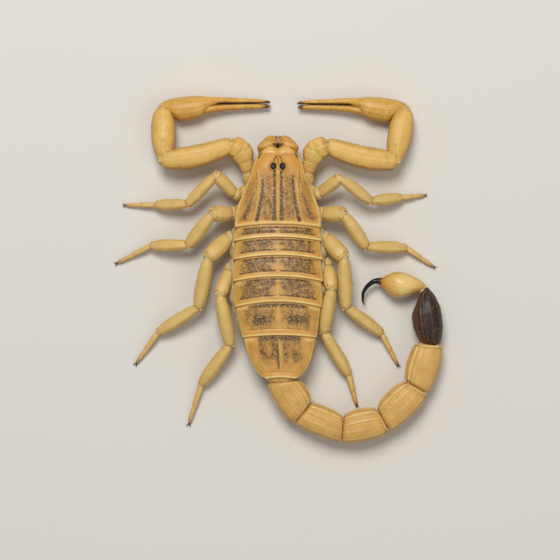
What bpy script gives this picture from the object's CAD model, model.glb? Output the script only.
# %% [markdown]
# # A desert scorpion, life size
# A yellow desert scorpion lies on the ground, seen from straight above. Its body is a row of hard
# plates and tubes, each of them a separate piece of horn-like shell with soft skin in the joints.
# This lesson gives every one of those pieces its fine shape and finish.
# All sizes below are in millimetres in the animal's own plan: x to its right, y to its head and
# z up, with y counted from a point in the middle of its back. One step turns them into metres.

# %% Load the frame
import math

import bpy
import numpy as np
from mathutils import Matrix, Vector


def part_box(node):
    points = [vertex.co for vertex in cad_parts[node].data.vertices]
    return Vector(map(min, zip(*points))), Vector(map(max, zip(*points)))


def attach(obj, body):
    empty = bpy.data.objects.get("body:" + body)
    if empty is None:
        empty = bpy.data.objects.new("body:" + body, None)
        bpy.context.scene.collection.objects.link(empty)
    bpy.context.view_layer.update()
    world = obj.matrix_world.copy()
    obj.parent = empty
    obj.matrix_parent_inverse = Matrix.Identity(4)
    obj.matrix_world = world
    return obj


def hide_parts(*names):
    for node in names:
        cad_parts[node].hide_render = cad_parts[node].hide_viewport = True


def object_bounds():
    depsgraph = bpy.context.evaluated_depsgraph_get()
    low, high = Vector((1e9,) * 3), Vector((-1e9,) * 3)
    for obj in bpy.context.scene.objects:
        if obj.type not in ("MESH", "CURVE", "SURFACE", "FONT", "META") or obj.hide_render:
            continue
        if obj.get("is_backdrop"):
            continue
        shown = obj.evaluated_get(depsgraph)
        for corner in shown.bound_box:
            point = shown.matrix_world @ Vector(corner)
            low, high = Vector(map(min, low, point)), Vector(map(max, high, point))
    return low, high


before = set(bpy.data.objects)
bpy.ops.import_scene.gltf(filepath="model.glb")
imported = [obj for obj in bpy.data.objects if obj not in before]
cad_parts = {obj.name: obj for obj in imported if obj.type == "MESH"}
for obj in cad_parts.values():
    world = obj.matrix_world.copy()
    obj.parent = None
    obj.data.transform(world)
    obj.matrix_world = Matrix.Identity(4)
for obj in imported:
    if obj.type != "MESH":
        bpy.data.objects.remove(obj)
cad_low, cad_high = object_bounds()
MM = 0.001
print("frame box in mm:", [round((h - l) / MM, 1) for l, h in zip(cad_low, cad_high)])

# %% [markdown]
# The frame's origin is under the middle of the whole pose, tail and pincers included. The plan
# used here starts from the midline of the head instead, so the place of one small known piece,
# the left eye, tells how far the two are apart.

# %% Find the plan's zero
EYE = {"radius": 0.45, "x": 0.69, "y": 17.0, "z": 6.62}
eye_low, eye_high = (np.array(corner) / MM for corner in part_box("eye_left"))
PLAN_SHIFT = (eye_low + eye_high) / 2 - np.array([-EYE["x"], EYE["y"], EYE["z"]])
PLAN_SHIFT[2] = 0.0
print("plan is moved by", np.round(PLAN_SHIFT, 3), "mm")

# %% [markdown]
# Every shape below is read from short tables of sizes. A table gives a few places with the size
# there, and a smooth curve that never overshoots fills in the rest. Soft bands and spots, from 0
# to 1, say where something is raised or coloured.

# %% Curves, bands and spots
UP = np.array([0.0, 0.0, 1.0])
PI = math.pi


def smooth_table(rows, places):
    """Values of a table of [place, value, ...] rows, joined by a curve without overshoot."""
    rows = np.asarray(rows, float)
    if rows[0, 0] > rows[-1, 0]:
        rows = rows[::-1]
    knots, values = rows[:, 0], rows[:, 1:]
    steps = np.diff(knots)
    slopes = np.diff(values, axis=0) / steps[:, None]
    product, total = slopes[:-1] * slopes[1:], slopes[:-1] + slopes[1:]
    inner = np.where(product > 0, 2 * product / np.where(np.abs(total) < 1e-9, 1.0, total), 0.0)
    tangents = np.vstack([slopes[:1], inner, slopes[-1:]])
    places = np.clip(places, knots[0], knots[-1])
    index = np.clip(np.searchsorted(knots, places, side="right") - 1, 0, len(steps) - 1)
    t = ((places - knots[index]) / steps[index])[..., None]
    h = steps[index][..., None]
    start = values[index] * (1 + 2 * t) * (1 - t) ** 2 + tangents[index] * h * t * (1 - t) ** 2
    return start + values[index + 1] * t**2 * (3 - 2 * t) + tangents[index + 1] * h * t**2 * (t - 1)


def smoothstep(low, high, value):
    t = np.clip((value - low) / (high - low), 0, 1)
    return t * t * (3 - 2 * t)


def band(value, centre, width):
    """A soft hump of height 1 around a centre."""
    return np.exp(-(((value - centre) / width) ** 2))


def spot(x, y, size_x, size_y):
    """A soft round hump of height 1 around zero."""
    return np.exp(-((x / size_x) ** 2 + (y / size_y) ** 2))


def between(value, low, high, soft):
    """A soft plateau of height 1 from low to high."""
    return smoothstep(low - soft, low + soft, value) * (1 - smoothstep(high - soft, high + soft, value))


def most(*masks):
    """The highest of several masks at each point."""
    return np.maximum.reduce(np.broadcast_arrays(*masks))


def unit(vector):
    vector = np.asarray(vector, float)
    return vector / np.linalg.norm(vector, axis=-1, keepdims=True)


def mix(a, b, share):
    return a + (b - a) * share


print("half way from 1 to 2 a table gives", smooth_table([[0, 1.0], [1, 2.0]], [0.5])[0, 0])

# %% [markdown]
# Living shell is never quite even. A small repeatable noise, made of a few sine waves in slanting
# directions, gives the plates and limbs their faint dents and lets markings fray at their edges.

# %% Soft noise
WAVES = 9


def waves(points, size, seed):
    """Smooth noise from -1 to 1 in space, with bumps about `size` mm across."""
    rng = np.random.default_rng(seed)
    ways = unit(rng.normal(size=(WAVES, 3)))
    rates = rng.uniform(0.7, 1.5, WAVES) * PI / size
    offsets = rng.uniform(0, 2 * PI, WAVES)
    total = sum(np.sin(points @ way * rate + offset) for way, rate, offset in zip(ways, rates, offsets))
    return total * 2 / WAVES


test_points = np.random.default_rng(1).normal(size=(500, 3))
print("noise spread:", round(float(waves(test_points, 1, 2).std()), 2))

# %% [markdown]
# Most pieces are a net of points: rows along the piece and columns round it. A net becomes a
# closed skin with a hub at either end. One piece may hold several skins, such as the foot of a
# leg and its claws. Each point also carries marks from 0 to 1, which say where the shell is
# dusky, pale or warm in colour and where it is grainy, and the materials read them later.

# %% Turn nets into a closed piece
MARKS = ("dusk", "pale", "warm", "grain")


def link_object(name, data):
    thing = bpy.data.objects.new(name, data)
    bpy.context.scene.collection.objects.link(thing)
    return thing


def plan_mesh(name, points, edges, faces, marks):
    """A mesh from points in plan millimetres, with a float mark on each point."""
    mesh = bpy.data.meshes.new(name)
    mesh.from_pydata(((points + PLAN_SHIFT) * MM).tolist(), edges, faces)
    for mark, values in marks.items():
        layer = mesh.attributes.new(mark, "FLOAT", "POINT")
        layer.data.foreach_set("value", np.asarray(values, np.float32))
    return mesh


def net_faces(net, base):
    """Faces of one closed net, outward, with its points numbered from base."""
    rows, columns = net.shape[:2]
    ring = np.arange(columns)
    after = (ring + 1) % columns
    row = (np.arange(rows - 1) * columns)[:, None]
    corners = [row + ring, row + after, row + after + columns, row + ring + columns]
    quads = np.stack(corners, -1).reshape(-1, 4)
    hub = np.full(columns, rows * columns)
    last = (rows - 1) * columns
    caps = np.vstack([np.stack([hub, after, ring], -1), np.stack([hub + 1, last + ring, last + after], -1)])
    p, q, s, t = (net.reshape(-1, 3) - net.mean(axis=(0, 1)))[quads.T]
    volume = (p * np.cross(q, s)).sum() + (p * np.cross(s, t)).sum()
    faces = (quads + base).tolist() + (caps + base).tolist()
    return [face[::-1] for face in faces] if volume < 0 else faces


def make_piece(name, parts):
    """One mesh from parts of (net, marks, finish)."""
    points, faces, finishes, slots, base = [], [], [], [], 0
    values = {mark: [] for mark in MARKS}
    for net, marks, finish in parts:
        points += [net.reshape(-1, 3), net[0].mean(axis=0)[None], net[-1].mean(axis=0)[None]]
        new = net_faces(net, base)
        faces += new
        if finish not in finishes:
            finishes.append(finish)
        slots += [finishes.index(finish)] * len(new)
        for mark in MARKS:
            flat = np.clip(np.broadcast_to(marks.get(mark, 0.0), net.shape[:2]), 0, 1)
            values[mark] += [flat.reshape(-1), [flat[0].mean(), flat[-1].mean()]]
        base += net.size // 3 + 2
    values = {mark: np.concatenate(rows) for mark, rows in values.items()}
    mesh = plan_mesh(name, np.vstack(points), [], faces, values)
    for finish in finishes:
        mesh.materials.append(finish)
    mesh.polygons.foreach_set("material_index", slots)
    mesh.shade_smooth()
    return link_object(name, mesh)


nets = {}


def stand_in(node, slot, *parts):
    """A fine piece made of parts takes the place of its plain solid."""
    piece = make_piece("fine_" + node, parts)
    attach(piece, "root")
    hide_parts(node)
    nets[node] = parts


print("marks kept on each piece:", ", ".join(MARKS))

# %% [markdown]
# A limb segment is a tube with a rounded box for its section. Its ends lie in the planes that
# halve the bend at its joints. As in life, its near end is a narrow neck that reaches into the
# segment before it, and its far end has a rounded collar that takes the neck of the next one.

# %% Rows and sections
GAP = 0.06
LEAST_SIDES = 16


def outline(square, sides):
    """Evenly spaced points of a rounded box: 2 is a circle and more is squarer."""
    angle = np.linspace(0, 2 * PI, 2001)
    x, y = (np.sign(v) * np.abs(v) ** (2 / square) for v in (np.cos(angle), np.sin(angle)))
    run = np.concatenate([[0], np.cumsum(np.hypot(np.diff(x), np.diff(y)))])
    places = np.arange(sides) / sides * run[-1]
    return np.interp(places, run, x), np.interp(places, run, y)


def spaced(length, spacing, edge):
    """Places along a tube, closer together where its two ends are rounded off."""
    corner = edge * (1 - np.cos(np.linspace(0, PI / 2, 6)))[:-1]
    count = max(2, round((length - 2 * edge) / spacing))
    return np.concatenate([corner, np.linspace(edge, length - edge, count + 1), length - corner[::-1]])


def lost_at_edge(distance, edge):
    """How much a round-over of radius edge takes off at a distance from the end."""
    inside = np.clip((edge - distance) / edge, 0, 1)
    return edge * (1 - np.sqrt(1 - inside**2))


def sections(at, along, wide, tall, square, spacing):
    """Net of a tube, and the angle of each column: 0 is the right-hand side, 90 degrees the top."""
    sides = max(LEAST_SIDES, round(2 * PI * (wide.max() + tall.max()) / 2 / spacing))
    x, y = outline(square, sides)
    across = unit(np.cross(np.broadcast_to(along, at.shape), UP))
    upward = unit(np.cross(across, along))
    side = across[:, None] * (wide[:, None] * x)[..., None]
    lift = upward[:, None] * (tall[:, None] * y)[..., None]
    return at[:, None] + side + lift, np.arctan2(y, x)[None]


def joint_planes(joints):
    """Directions that halve the bend at each joint of a limb."""
    ways = unit(np.diff(joints, axis=0))
    index = np.arange(len(joints))
    return unit(ways[np.maximum(index - 1, 0)] + ways[np.minimum(index, len(ways) - 1)])


print("a tube 5 mm long has", len(spaced(5, 0.09, 0.2)), "rows")

# %% Tubes
class Tube:
    """A straight segment between two joints, from sizes of [share, half width, half height]."""

    def __init__(self, start, end, sizes, planes=None, square=2.4, spacing=0.09, edge=0.14,
                 bow=0.0, tuck=0.3, neck=0.9, collar=0.04):
        way = unit(end - start)
        first, last = (way, way) if planes is None else planes
        a = start + way * GAP / 2 / (first @ way)
        b = end - way * GAP / 2 / (last @ way)
        self.length = np.linalg.norm(b - a)
        self.place = (spaced(self.length + tuck, spacing, edge) - tuck)[:, None]
        self.share = self.place / self.length
        self.from_end = self.length - self.place
        s = np.clip(self.share, 0, 1)
        along = unit(np.where(s < 0.5, mix(first, way, s * 2), mix(way, last, s * 2 - 1)))
        at = mix(a, b, self.share)
        at[:, 1:2] -= bow * np.sin(PI * s)
        size = smooth_table(sizes, self.share[:, 0]) * mix(neck, 1, smoothstep(-0.05, 0.4, self.place))
        lost = lost_at_edge(np.minimum(self.place + tuck, self.from_end), edge)
        size = size - (lost - collar * band(self.from_end, 0.22, 0.2))
        self.radius = size.mean(axis=1, keepdims=True)
        self.net, self.angle = sections(at, along, size[:, 0], size[:, 1], square, spacing)


def outward(net):
    """Outward directions of a closed net."""
    normals = np.cross(np.gradient(net, axis=0), np.roll(net, -1, axis=1) - np.roll(net, 1, axis=1))
    normals /= np.maximum(np.linalg.norm(normals, axis=-1, keepdims=True), 1e-9)
    facing = (normals * (net - net.mean(axis=1, keepdims=True))).sum()
    return normals * np.sign(facing)


def raised(net, height):
    """A net moved outwards by a height at each point."""
    return net + outward(net) * np.broadcast_to(height, net.shape[:2])[..., None]


straight = Tube(np.zeros(3), np.array([5.0, 0, 0]), [[0, 1, 1], [1, 1, 1]])
print("points of a straight tube:", straight.net.shape[:2])

# %% [markdown]
# Scorpion shell is stiffened by keels, thin ridges that run lengthwise and carry a row of beads.
# They are raised on the net itself, so that they also show from the side and keep their light.

# %% Keels
def angle_from(angle, degrees):
    """How far an angle is from a direction in degrees, at most half a turn either way."""
    return (angle - math.radians(degrees) + PI) % (2 * PI) - PI


def keels_on(tube, keels, beads=0.2, bead_length=0.36, start=0.3, end=0.3):
    """Raises keels of [angle in degrees, height, half width] and returns where they are."""
    reach = between(tube.place, start, tube.length - end, 0.2)
    lift = mask = 0
    for degrees, high, wide in keels:
        ridge = band(angle_from(tube.angle, degrees) * tube.radius, 0, wide)
        lift = np.maximum(lift, ridge * high)
        mask = np.maximum(mask, ridge)
    row = 1 + beads * np.sin(2 * PI * tube.place / bead_length)
    dents = 0.018 * waves(tube.net, 0.9, 5)
    tube.net = raised(tube.net, lift * reach * row + dents * reach)
    return mask * reach


def keel_paths(net, angle, place, angles, start, end):
    """Lines along a net, one at each angle in degrees, from place start to place end."""
    rows = ((place > start) & (place < end))[:, 0]
    return [net[rows, np.argmax(np.cos(angle - math.radians(degrees)))] for degrees in angles]


bead_paths = {"arm": [], "tail": []}
print("a keel mask runs from 0 to", round(float(keels_on(straight, [[90, 0.1, 0.1]]).max()), 2))

# %% [markdown]
# The shell is like horn: honey yellow, a little glossy, and slightly clear, so light sinks in
# before it comes back. Fine cloudy blotches and specks keep it from being one flat colour. All
# the shell materials use one group of nodes for this, each with its own colours. The group gives
# a colour, a roughness and a height, and each material has its own shader.

# %% Node trees
def colour(code):
    """Linear colour from a hex code as a paint chart gives it."""
    parts = [int(code[i : i + 2], 16) / 255 for i in (0, 2, 4)]
    linear = [c / 12.92 if c <= 0.04045 else ((c + 0.055) / 1.055) ** 2.4 for c in parts]
    return (*linear, 1.0)


def add_node(tree, kind, links=None, **settings):
    """A node with its settings, and its inputs given as values or as other nodes' outputs."""
    node = tree.nodes.new(kind)
    for key, value in settings.items():
        setattr(node, key, value)
    for key, value in (links or {}).items():
        if isinstance(value, bpy.types.NodeSocket):
            tree.links.new(value, node.inputs[key])
        else:
            node.inputs[key].default_value = value
    return node


class Group:
    """A node group with named sockets. Its calls add a node each and give its output."""

    def __init__(self, name, kind, inputs, outputs):
        self.tree = bpy.data.node_groups.new(name, kind)
        for in_out, sockets in (("INPUT", inputs), ("OUTPUT", outputs)):
            for socket_kind, names in sockets.items():
                for socket in names.split(", "):
                    kind = "NodeSocket" + socket_kind
                    self.tree.interface.new_socket(socket, in_out=in_out, socket_type=kind)
        self.given = add_node(self.tree, "NodeGroupInput").outputs
        self.wanted = add_node(self.tree, "NodeGroupOutput").inputs

    def add(self, kind, links=None, out=0, **settings):
        return add_node(self.tree, kind, links, **settings).outputs[out]

    def __getitem__(self, name):
        return self.given[name]

    def __setitem__(self, name, value):
        self.tree.links.new(value, self.wanted[name])

    def sum(self, operation, a, b, clamp=False):
        return self.add("ShaderNodeMath", {0: a, 1: b}, operation=operation, use_clamp=clamp)

    def times(self, a, b, clamp=False):
        return self.sum("MULTIPLY", a, b, clamp)

    def stretch(self, value, low, high, to_low=0.0, to_high=1.0):
        return self.add("ShaderNodeMapRange", {0: value, 1: low, 2: high, 3: to_low, 4: to_high})


print("honey yellow is", [round(c, 3) for c in colour("d9ad63")[:3]])

# %% The shell's node group
shell = Group("Horn shell", "ShaderNodeTree", {
    "Color": "Base, Deep, Wash, Dusk, Pale, Warm",
    "Float": "Blotch Size, Speck Size, Speckle, Pores, Roughness",
}, {"Color": "Colour", "Float": "Roughness, Height"})
place = shell.add("ShaderNodeTexCoord", out="Object")
dusk, pale, warm, light = (
    shell.add("ShaderNodeAttribute", out="Fac", attribute_name=mark)
    for mark in ("dusk", "pale", "warm", "speck")
)
PORES_IN_METRE = 1700.0


def clouds(scale, detail, low, high):
    noise = shell.add("ShaderNodeTexNoise", {"Vector": place, "Scale": scale, "Detail": detail})
    return shell.stretch(noise, low, high)


def distances(scale):
    return shell.add("ShaderNodeTexVoronoi", {"Vector": place, "Scale": scale}, out="Distance")


speck_scale = shell.sum("DIVIDE", 1000.0, shell["Speck Size"])
blotch = clouds(shell.sum("DIVIDE", 1000.0, shell["Blotch Size"]), 3.0, 0.36, 0.66)
speck = clouds(speck_scale, 2.0, 0.34, 0.66)
glint = clouds(shell.times(speck_scale, 1.15), 1.0, 0.55, 0.7)
strong = shell.times(dusk, shell.sum("ADD", 1.0, shell["Speckle"]))
dusky = shell.sum("SUBTRACT", strong, shell.times(speck, shell["Speckle"]), clamp=True)
washed = shell.times(dusk, 1.3, clamp=True)
pores = shell.times(shell.stretch(distances(PORES_IN_METRE), 0.3, 0.12), blotch)
pores = shell.times(pores, shell["Pores"])
lightest = shell.sum("MAXIMUM", pale, light)
lightest = shell.sum("MAXIMUM", lightest, shell.times(shell.times(glint, washed), 0.45))
layers = (
    (blotch, "Deep"), (warm, "Warm"), (shell.times(speck, 0.4), "Deep"), (pores, "Wash"), (washed, "Wash"),
    (shell.times(dusky, 0.8), "Dusk"), (lightest, "Pale"),
)
tint = shell["Base"]
for share, layer in layers:
    tint = shell.add("ShaderNodeMix", {0: share, 6: tint, 7: shell[layer]}, out=2, data_type="RGBA")
grain = shell.times(shell.sum("ADD", dusky, 0.4), distances(speck_scale))
rough = shell.sum("ADD", shell["Roughness"], shell.stretch(speck, 0, 1, -0.06, 0.08))
shell["Colour"] = tint
shell["Height"] = shell.sum("SUBTRACT", grain, shell.times(pores, 0.5))
shell["Roughness"] = shell.sum("ADD", rough, shell.times(dusky, 0.1), clamp=True)
print("shell group has", len(shell.tree.nodes), "nodes")

# %% Shell materials
def shell_finish(name, colours, rough=0.4, blotch=1.6, speck=0.26, speckle=0.9, pores=0.0, bump=0.35,
                 glow=0.18, gloss=0.5):
    """One shell material. glow is how much light sinks in, gloss the strength of reflections."""
    material = bpy.data.materials.new(name)
    material.use_nodes = True
    tree = material.node_tree
    shader = tree.nodes["Principled BSDF"].inputs
    names = ("Base", "Deep", "Wash", "Dusk", "Pale", "Warm")
    values = {socket: colour(code) for socket, code in zip(names, colours.split())}
    numbers = {"Blotch Size": blotch, "Speck Size": speck, "Speckle": speckle, "Pores": pores}
    numbers["Roughness"] = rough
    group = tree.nodes.new("ShaderNodeGroup")
    group.node_tree = shell.tree
    for socket, value in {**values, **numbers}.items():
        group.inputs[socket].default_value = value
    dent = {"Strength": bump, "Distance": 0.06 * MM, "Height": group.outputs["Height"]}
    tree.links.new(group.outputs["Colour"], shader["Base Color"])
    tree.links.new(group.outputs["Roughness"], shader["Roughness"])
    tree.links.new(add_node(tree, "ShaderNodeBump", dent).outputs[0], shader["Normal"])
    shader["Subsurface Weight"].default_value = glow
    shader["Subsurface Radius"].default_value = (1.0, 0.6, 0.3)
    shader["Subsurface Scale"].default_value = 0.6 * MM
    shader["Specular IOR Level"].default_value = gloss
    return material


# The six colours are base, deep, wash, dusk, pale and warm.
BACK = shell_finish("back_shell", "d5a654 c28f42 a66e2f 33210f f0d286 d1943a", blotch=1.2, speck=0.31,
                    speckle=0.75, pores=0.3)
GRAIN = shell_finish("back_grain", "d3a552 c4934a a37a4a 443225 e9cd92 d39a48", rough=0.3)
ARM = shell_finish("arm_shell", "d7aa4f ca9741 8e5827 5b3a1e edd58a c27c26", rough=0.46, pores=1.0,
                   glow=0.3, gloss=0.38)
LEG = shell_finish("leg_shell", "d1ab58 c29a4b a07234 5d3d20 ecd698 b4742f", rough=0.42, pores=0.4,
                   glow=0.35, gloss=0.42)
TAIL = shell_finish("tail_shell", "d7a957 c99850 a06e38 55341b efd58f c27c2a", rough=0.42, pores=0.5,
                    glow=0.25, gloss=0.45)
BULB = shell_finish("bulb_shell", "d6ad59 cb9d4c a9742f 4b2f18 efda98 c67c22", rough=0.3, pores=0.5,
                    glow=0.35, bump=0.16)
RING = shell_finish("dark_shell", "30201a 20140f 1a110c 0f0a08 96683c 7a4420", rough=0.42, speck=0.2,
                    pores=0.3, glow=0.0, gloss=0.4)
HORN = shell_finish("sting_horn", "150e0b 0d0908 0c0807 0a0706 33231a 7c4519", rough=0.14, glow=0.0, bump=0.1)
TOOTH = shell_finish("tooth_horn", "34200f 24150a 1e120a 120a06 6a4426 5a3318", rough=0.35, glow=0.0)
SKIN = shell_finish("joint_skin", "d0b884 b89e6a a08358 6e5438 e6d8b4 c79a58", rough=0.5, speck=0.34,
                    bump=0.6)
KNOB = shell_finish("knob_horn", "dabb7c c69c58 a87838 5d3a1c ecd8a4 c98c3e", rough=0.33, pores=0.6,
                    glow=0.3, bump=0.1)
BEAD = shell_finish("brown_beads", "9c6630 7d4c22 6a3e1b 3d2412 c49550 a8652a", rough=0.35, glow=0.0)
KEEL = shell_finish("pale_beads", "e0bd74 cfa55a b08040 6a4522 f0d898 c98c3e", rough=0.35, glow=0.2)
HAIR = shell_finish("bristle_horn", "a8763a 7c5226 66421f 50331a d9b679 8c5c2c", rough=0.35, glow=0.0)
LENS = shell_finish("eye_glass", "0b0a0a 070606 060505 050505 1c1815 120e0b", rough=0.08, glow=0.0,
                    bump=0.02, gloss=0.7)
print("finishes:", sum(material.users == 0 for material in bpy.data.materials))

# %% [markdown]
# The back is a shield over the head part, the carapace, and a row of plates behind it, the
# tergites. In life each plate is one bent sheet that slides under the one ahead. They share one
# outline for the whole back, so the side edges run on from plate to plate in one smooth line.

# %% Outline of the back
PLATE_UNDERSIDE = 4.2
PLATE_RIM = 0.5
PLATE_GAP = 0.12
PLATE_COLUMNS = 171
ARCH_POWER = 0.425
HALF_WIDTHS = [
    [20.05, 2.3], [19.5, 2.95], [18.75, 3.35], [17.7, 3.7], [16.2, 4.1], [14.7, 4.7], [13.5, 5.2],
    [12.3, 5.65], [10.8, 6.2], [9.45, 6.45], [7.0, 6.55], [3.0, 6.75], [-1.8, 6.83], [-5.6, 6.2],
    [-8.5, 5.6], [-10.5, 5.1], [-12.3, 4.43], [-13.8, 3.55], [-15.0, 2.85],
]
CROWNS = [
    [20.05, 5.3], [18.6, 5.95], [17.0, 6.45], [14.5, 6.6], [8.0, 6.75], [-1.5, 7.0], [-8.0, 6.5],
    [-15.0, 5.5],
]


def back_width(y):
    return smooth_table(HALF_WIDTHS, y)[..., 0]


def arch(u):
    """Height of a plate's arch, 1 on the midline and 0 at its side edges."""
    return np.clip(1 - u**2, 0, 1) ** ARCH_POWER


def midline(y):
    """The body leans a little to the right towards the tail."""
    return 0.42 * smoothstep(2, 15, -np.asarray(y))


# Columns across a plate, evenly spaced along its arch.
fine_u = np.cos(np.linspace(0, PI, 4001))
steps = np.diff(np.stack([6.6 * fine_u, 2.3 * arch(fine_u)], -1), axis=0)
arch_run = np.concatenate([[0], np.cumsum(np.linalg.norm(steps, axis=1))])
PLATE_U = np.interp(np.linspace(0, arch_run[-1], PLATE_COLUMNS), arch_run, fine_u)
print("back is", round(float(arch_run[-1]), 1), "mm across its arch")

# %% Plates of the back
SIDE_POINTS = 4
UNDER_POINTS = 12


class Plate:
    """A bent plate with an arched top, a rim of even height and a flat underside."""

    def __init__(self, front, front_bow, rear, rear_bow, lift=0.0, narrowing=1.0, tuck=0.0, edge=0.12,
                 spacing=0.085):
        start = front - PLATE_GAP
        length = start - rear
        self.ahead = (spaced(length + tuck, spacing, edge) - tuck)[:, None]
        self.behind = length - self.ahead
        self.u = PLATE_U[None]
        share = np.clip(self.ahead / length, 0, 1)
        middle = start - self.ahead
        side = PLATE_UNDERSIDE + PLATE_RIM
        crown = smooth_table(CROWNS, middle)[..., 0] + mix(-lift, lift, share) - side
        self.x = self.u * (back_width(middle - rear_bow * share) * mix(narrowing, 1, share))
        self.y = middle - mix(front_bow, rear_bow, share) * self.u**2
        self.z = side + crown * arch(self.u) - lost_at_edge(np.minimum(self.ahead + tuck, self.behind), edge)

    def points(self):
        return np.stack([self.x, self.y, self.z], -1)

    def part(self, marks):
        """The plate and its marks as closed rings: over the top, down, back underneath and up."""
        top = self.points() + midline(self.y)[..., None] * [1, 0, 0]
        low = top * [1, 1, 0] + [0, 0, PLATE_UNDERSIDE]
        down = np.linspace(0, 1, SIDE_POINTS + 1)[1:, None]
        left, right = (mix(top[:, [edge]], low[:, [edge]], down) for edge in (-1, 0))
        under = mix(left[:, -1:], right[:, -1:], np.linspace(0, 1, UNDER_POINTS + 2)[1:-1, None])
        spread = {}
        for name, mark in marks.items():
            mark = np.broadcast_to(mark, self.x.shape)
            first, last = mark[:, :1], mark[:, -1:]
            below = 0.2 * mix(last, first, np.linspace(0, 1, UNDER_POINTS)[None])
            sides = last.repeat(SIDE_POINTS, axis=1), below, first.repeat(SIDE_POINTS, axis=1)
            spread[name] = np.concatenate([mark, *sides], axis=1)
        return np.concatenate([top, left, under, right[:, ::-1]], axis=1), spread, BACK


def stripe(x, y, path, softness=0.25):
    """A lengthwise stripe through [y, x, half width] places, between the first and the last."""
    path = np.array(path, float)
    values = smooth_table(path, y)
    ends = between(y, path[:, 0].min(), path[:, 0].max(), softness)
    return band(x, values[..., 0], values[..., 1]) * ends


print("a plate is", len(PLATE_U), "points across")

# %% [markdown]
# The carapace carries the two big eyes on a low hump, three pairs of keels that part and meet
# again, and a finely grained skin with dusky stripes between the keels. Its front edge has two
# smooth lobes over the jaws. The eyes sit in deep sockets with a raised rim, like lenses in a
# ring, and three tiny eyes more lie at each front corner.

# %% Shape of the carapace
carapace = Plate(20.17, 0.55, 8.3, 0.45, edge=0.3, spacing=0.075)
x, y, u = carapace.x, carapace.y, carapace.u
ahead, behind, aside = carapace.ahead, carapace.behind, np.abs(x)
front_edge = 0.42 * band(x, 0, 0.55) - 0.12 * band(aside, 1.5, 0.8) + 0.25 * smoothstep(1.9, 3.1, aside)
carapace.y = y - (1 - smoothstep(0.2, 2.2, ahead)) * front_edge
hump = np.exp(-(((x / 0.95) ** 2 + ((y - 16.75) / 1.25) ** 2) ** 1.5))
socket_gap = np.hypot(aside - EYE["x"], (y - EYE["y"]) * 0.9)
front_path = [[18.85, 0.2, 0.08], [18.4, 0.36, 0.13], [17.9, 0.52, 0.15], [17.5, 0.64, 0.12]]
front_keels = stripe(aside, y, front_path, 0.15)
mid_keel = stripe(x, y, [[16.0, 0.0, 0.16], [12.0, 0.0, 0.2], [8.7, 0.0, 0.22]])
inner_path = [[16.2, 0.95, 0.14], [13.5, 1.25, 0.16], [11.0, 1.35, 0.16], [8.6, 1.45, 0.18]]
inner_keels = stripe(aside, y, inner_path)
outer_keels = stripe(aside, y, [[15.2, 2.75, 0.18], [12.2, 3.0, 0.2], [8.6, 3.85, 0.22]])
side_keels = stripe(aside, y, [[16.4, 3.0, 0.12], [14.0, 3.5, 0.14], [9.2, 5.35, 0.2]])
mid_furrow = stripe(x, y, [[19.4, 0.0, 0.16], [18.4, 0.0, 0.14], [17.2, 0.0, 0.12]])
lobe_edge = 18.85 - 0.12 * aside
lobe_line = band(y, lobe_edge, 0.16) * between(aside, 0.3, 2.4, 0.3)
lobes = band(y, lobe_edge + 0.55, 0.3) * between(aside, 0.35, 2.1, 0.35)
rear_rim = between(behind, -1, 0.55, 0.12)
margin = band(np.abs(u), 0.968, 0.034)
points = carapace.points()
carapace.z = carapace.z + (
    0.28 * hump + 0.2 * band(socket_gap, 0.56, 0.13) - 0.3 * (1 - smoothstep(0.3, 0.5, socket_gap))
    + 0.1 * front_keels + 0.13 * mid_keel + 0.05 * inner_keels + 0.12 * outer_keels + 0.06 * side_keels
    + 0.1 * lobes - 0.16 * mid_furrow - 0.13 * lobe_line + 0.07 * rear_rim - 0.08 * band(behind, 0.72, 0.14)
    + 0.07 * margin * smoothstep(0.2, 0.8, ahead) + 0.03 * waves(points, 1.1, 11)
)
print("carapace top is", round(float(carapace.z.max()), 2), "mm above the ground")

# %% Markings of the carapace
main_path = [[16.4, 0.5, 0.13], [14.0, 0.52, 0.17], [11.0, 0.55, 0.22], [8.8, 0.55, 0.24]]
second_path = [[15.0, 2.2, 0.12], [12.4, 2.45, 0.2], [10.4, 2.85, 0.24], [8.45, 3.25, 0.22]]
main_stripes = stripe(aside, y, main_path)
second_stripes = stripe(aside, y, second_path)
faint_lines = stripe(aside, y, [[16.2, 3.1, 0.1], [15.0, 3.2, 0.14], [13.6, 3.25, 0.12]])
dusky_bands = stripe(aside, y, [[13.2, 3.6, 0.16], [11.0, 4.35, 0.42], [8.9, 5.1, 0.6]])
mottled = between(aside, 0.7, 2.7, 0.4) * between(y, 8.9, 15.9, 0.6)
behind_eyes = band(aside, 1.5, 1.1) * band(y, 15.6, 1.0)
outer_cloud = between(y, 9, 15, 1) * between(aside, 3.2, 5.2, 0.5)
fray = 1 + 0.3 * waves(points, 0.5, 3)
dusk = (1 - rear_rim) * most(
    2.2 * main_stripes * fray, 2.0 * second_stripes * fray, 0.55 * faint_lines, 0.72 * dusky_bands * fray,
    0.42 * mottled * fray, 0.3 * behind_eyes, 0.34 * outer_cloud,
)
dots = [spot(aside - 6.15, y - 9.6, 0.14, 0.14), spot(aside - 2.9, y - 19.0, 0.2, 0.2)]
dusk = most(
    dusk, *dots, 0.85 * front_keels * fray * (1 - 0.6 * hump), 0.2 * lobe_line,
    0.5 * mid_furrow * band(y, 18.0, 0.9), 0.3 * band(socket_gap, 0.5, 0.08),
)
pale = most(
    0.75 * margin, 0.7 * band(behind, 0.22, 0.22), 0.16 * mid_keel, 0.2 * outer_keels,
    0.32 * between(y, 18.95, 19.8, 0.2) * between(aside, 0.35, 2.4, 0.3),
)
warm = 0.5 * smoothstep(15.5, 19, y) + 0.35 * between(np.abs(u), 0.62, 0.93, 0.08)
warm = (warm + 0.3 * outer_keels + 0.35 * mid_keel) * (1 - pale)
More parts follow.
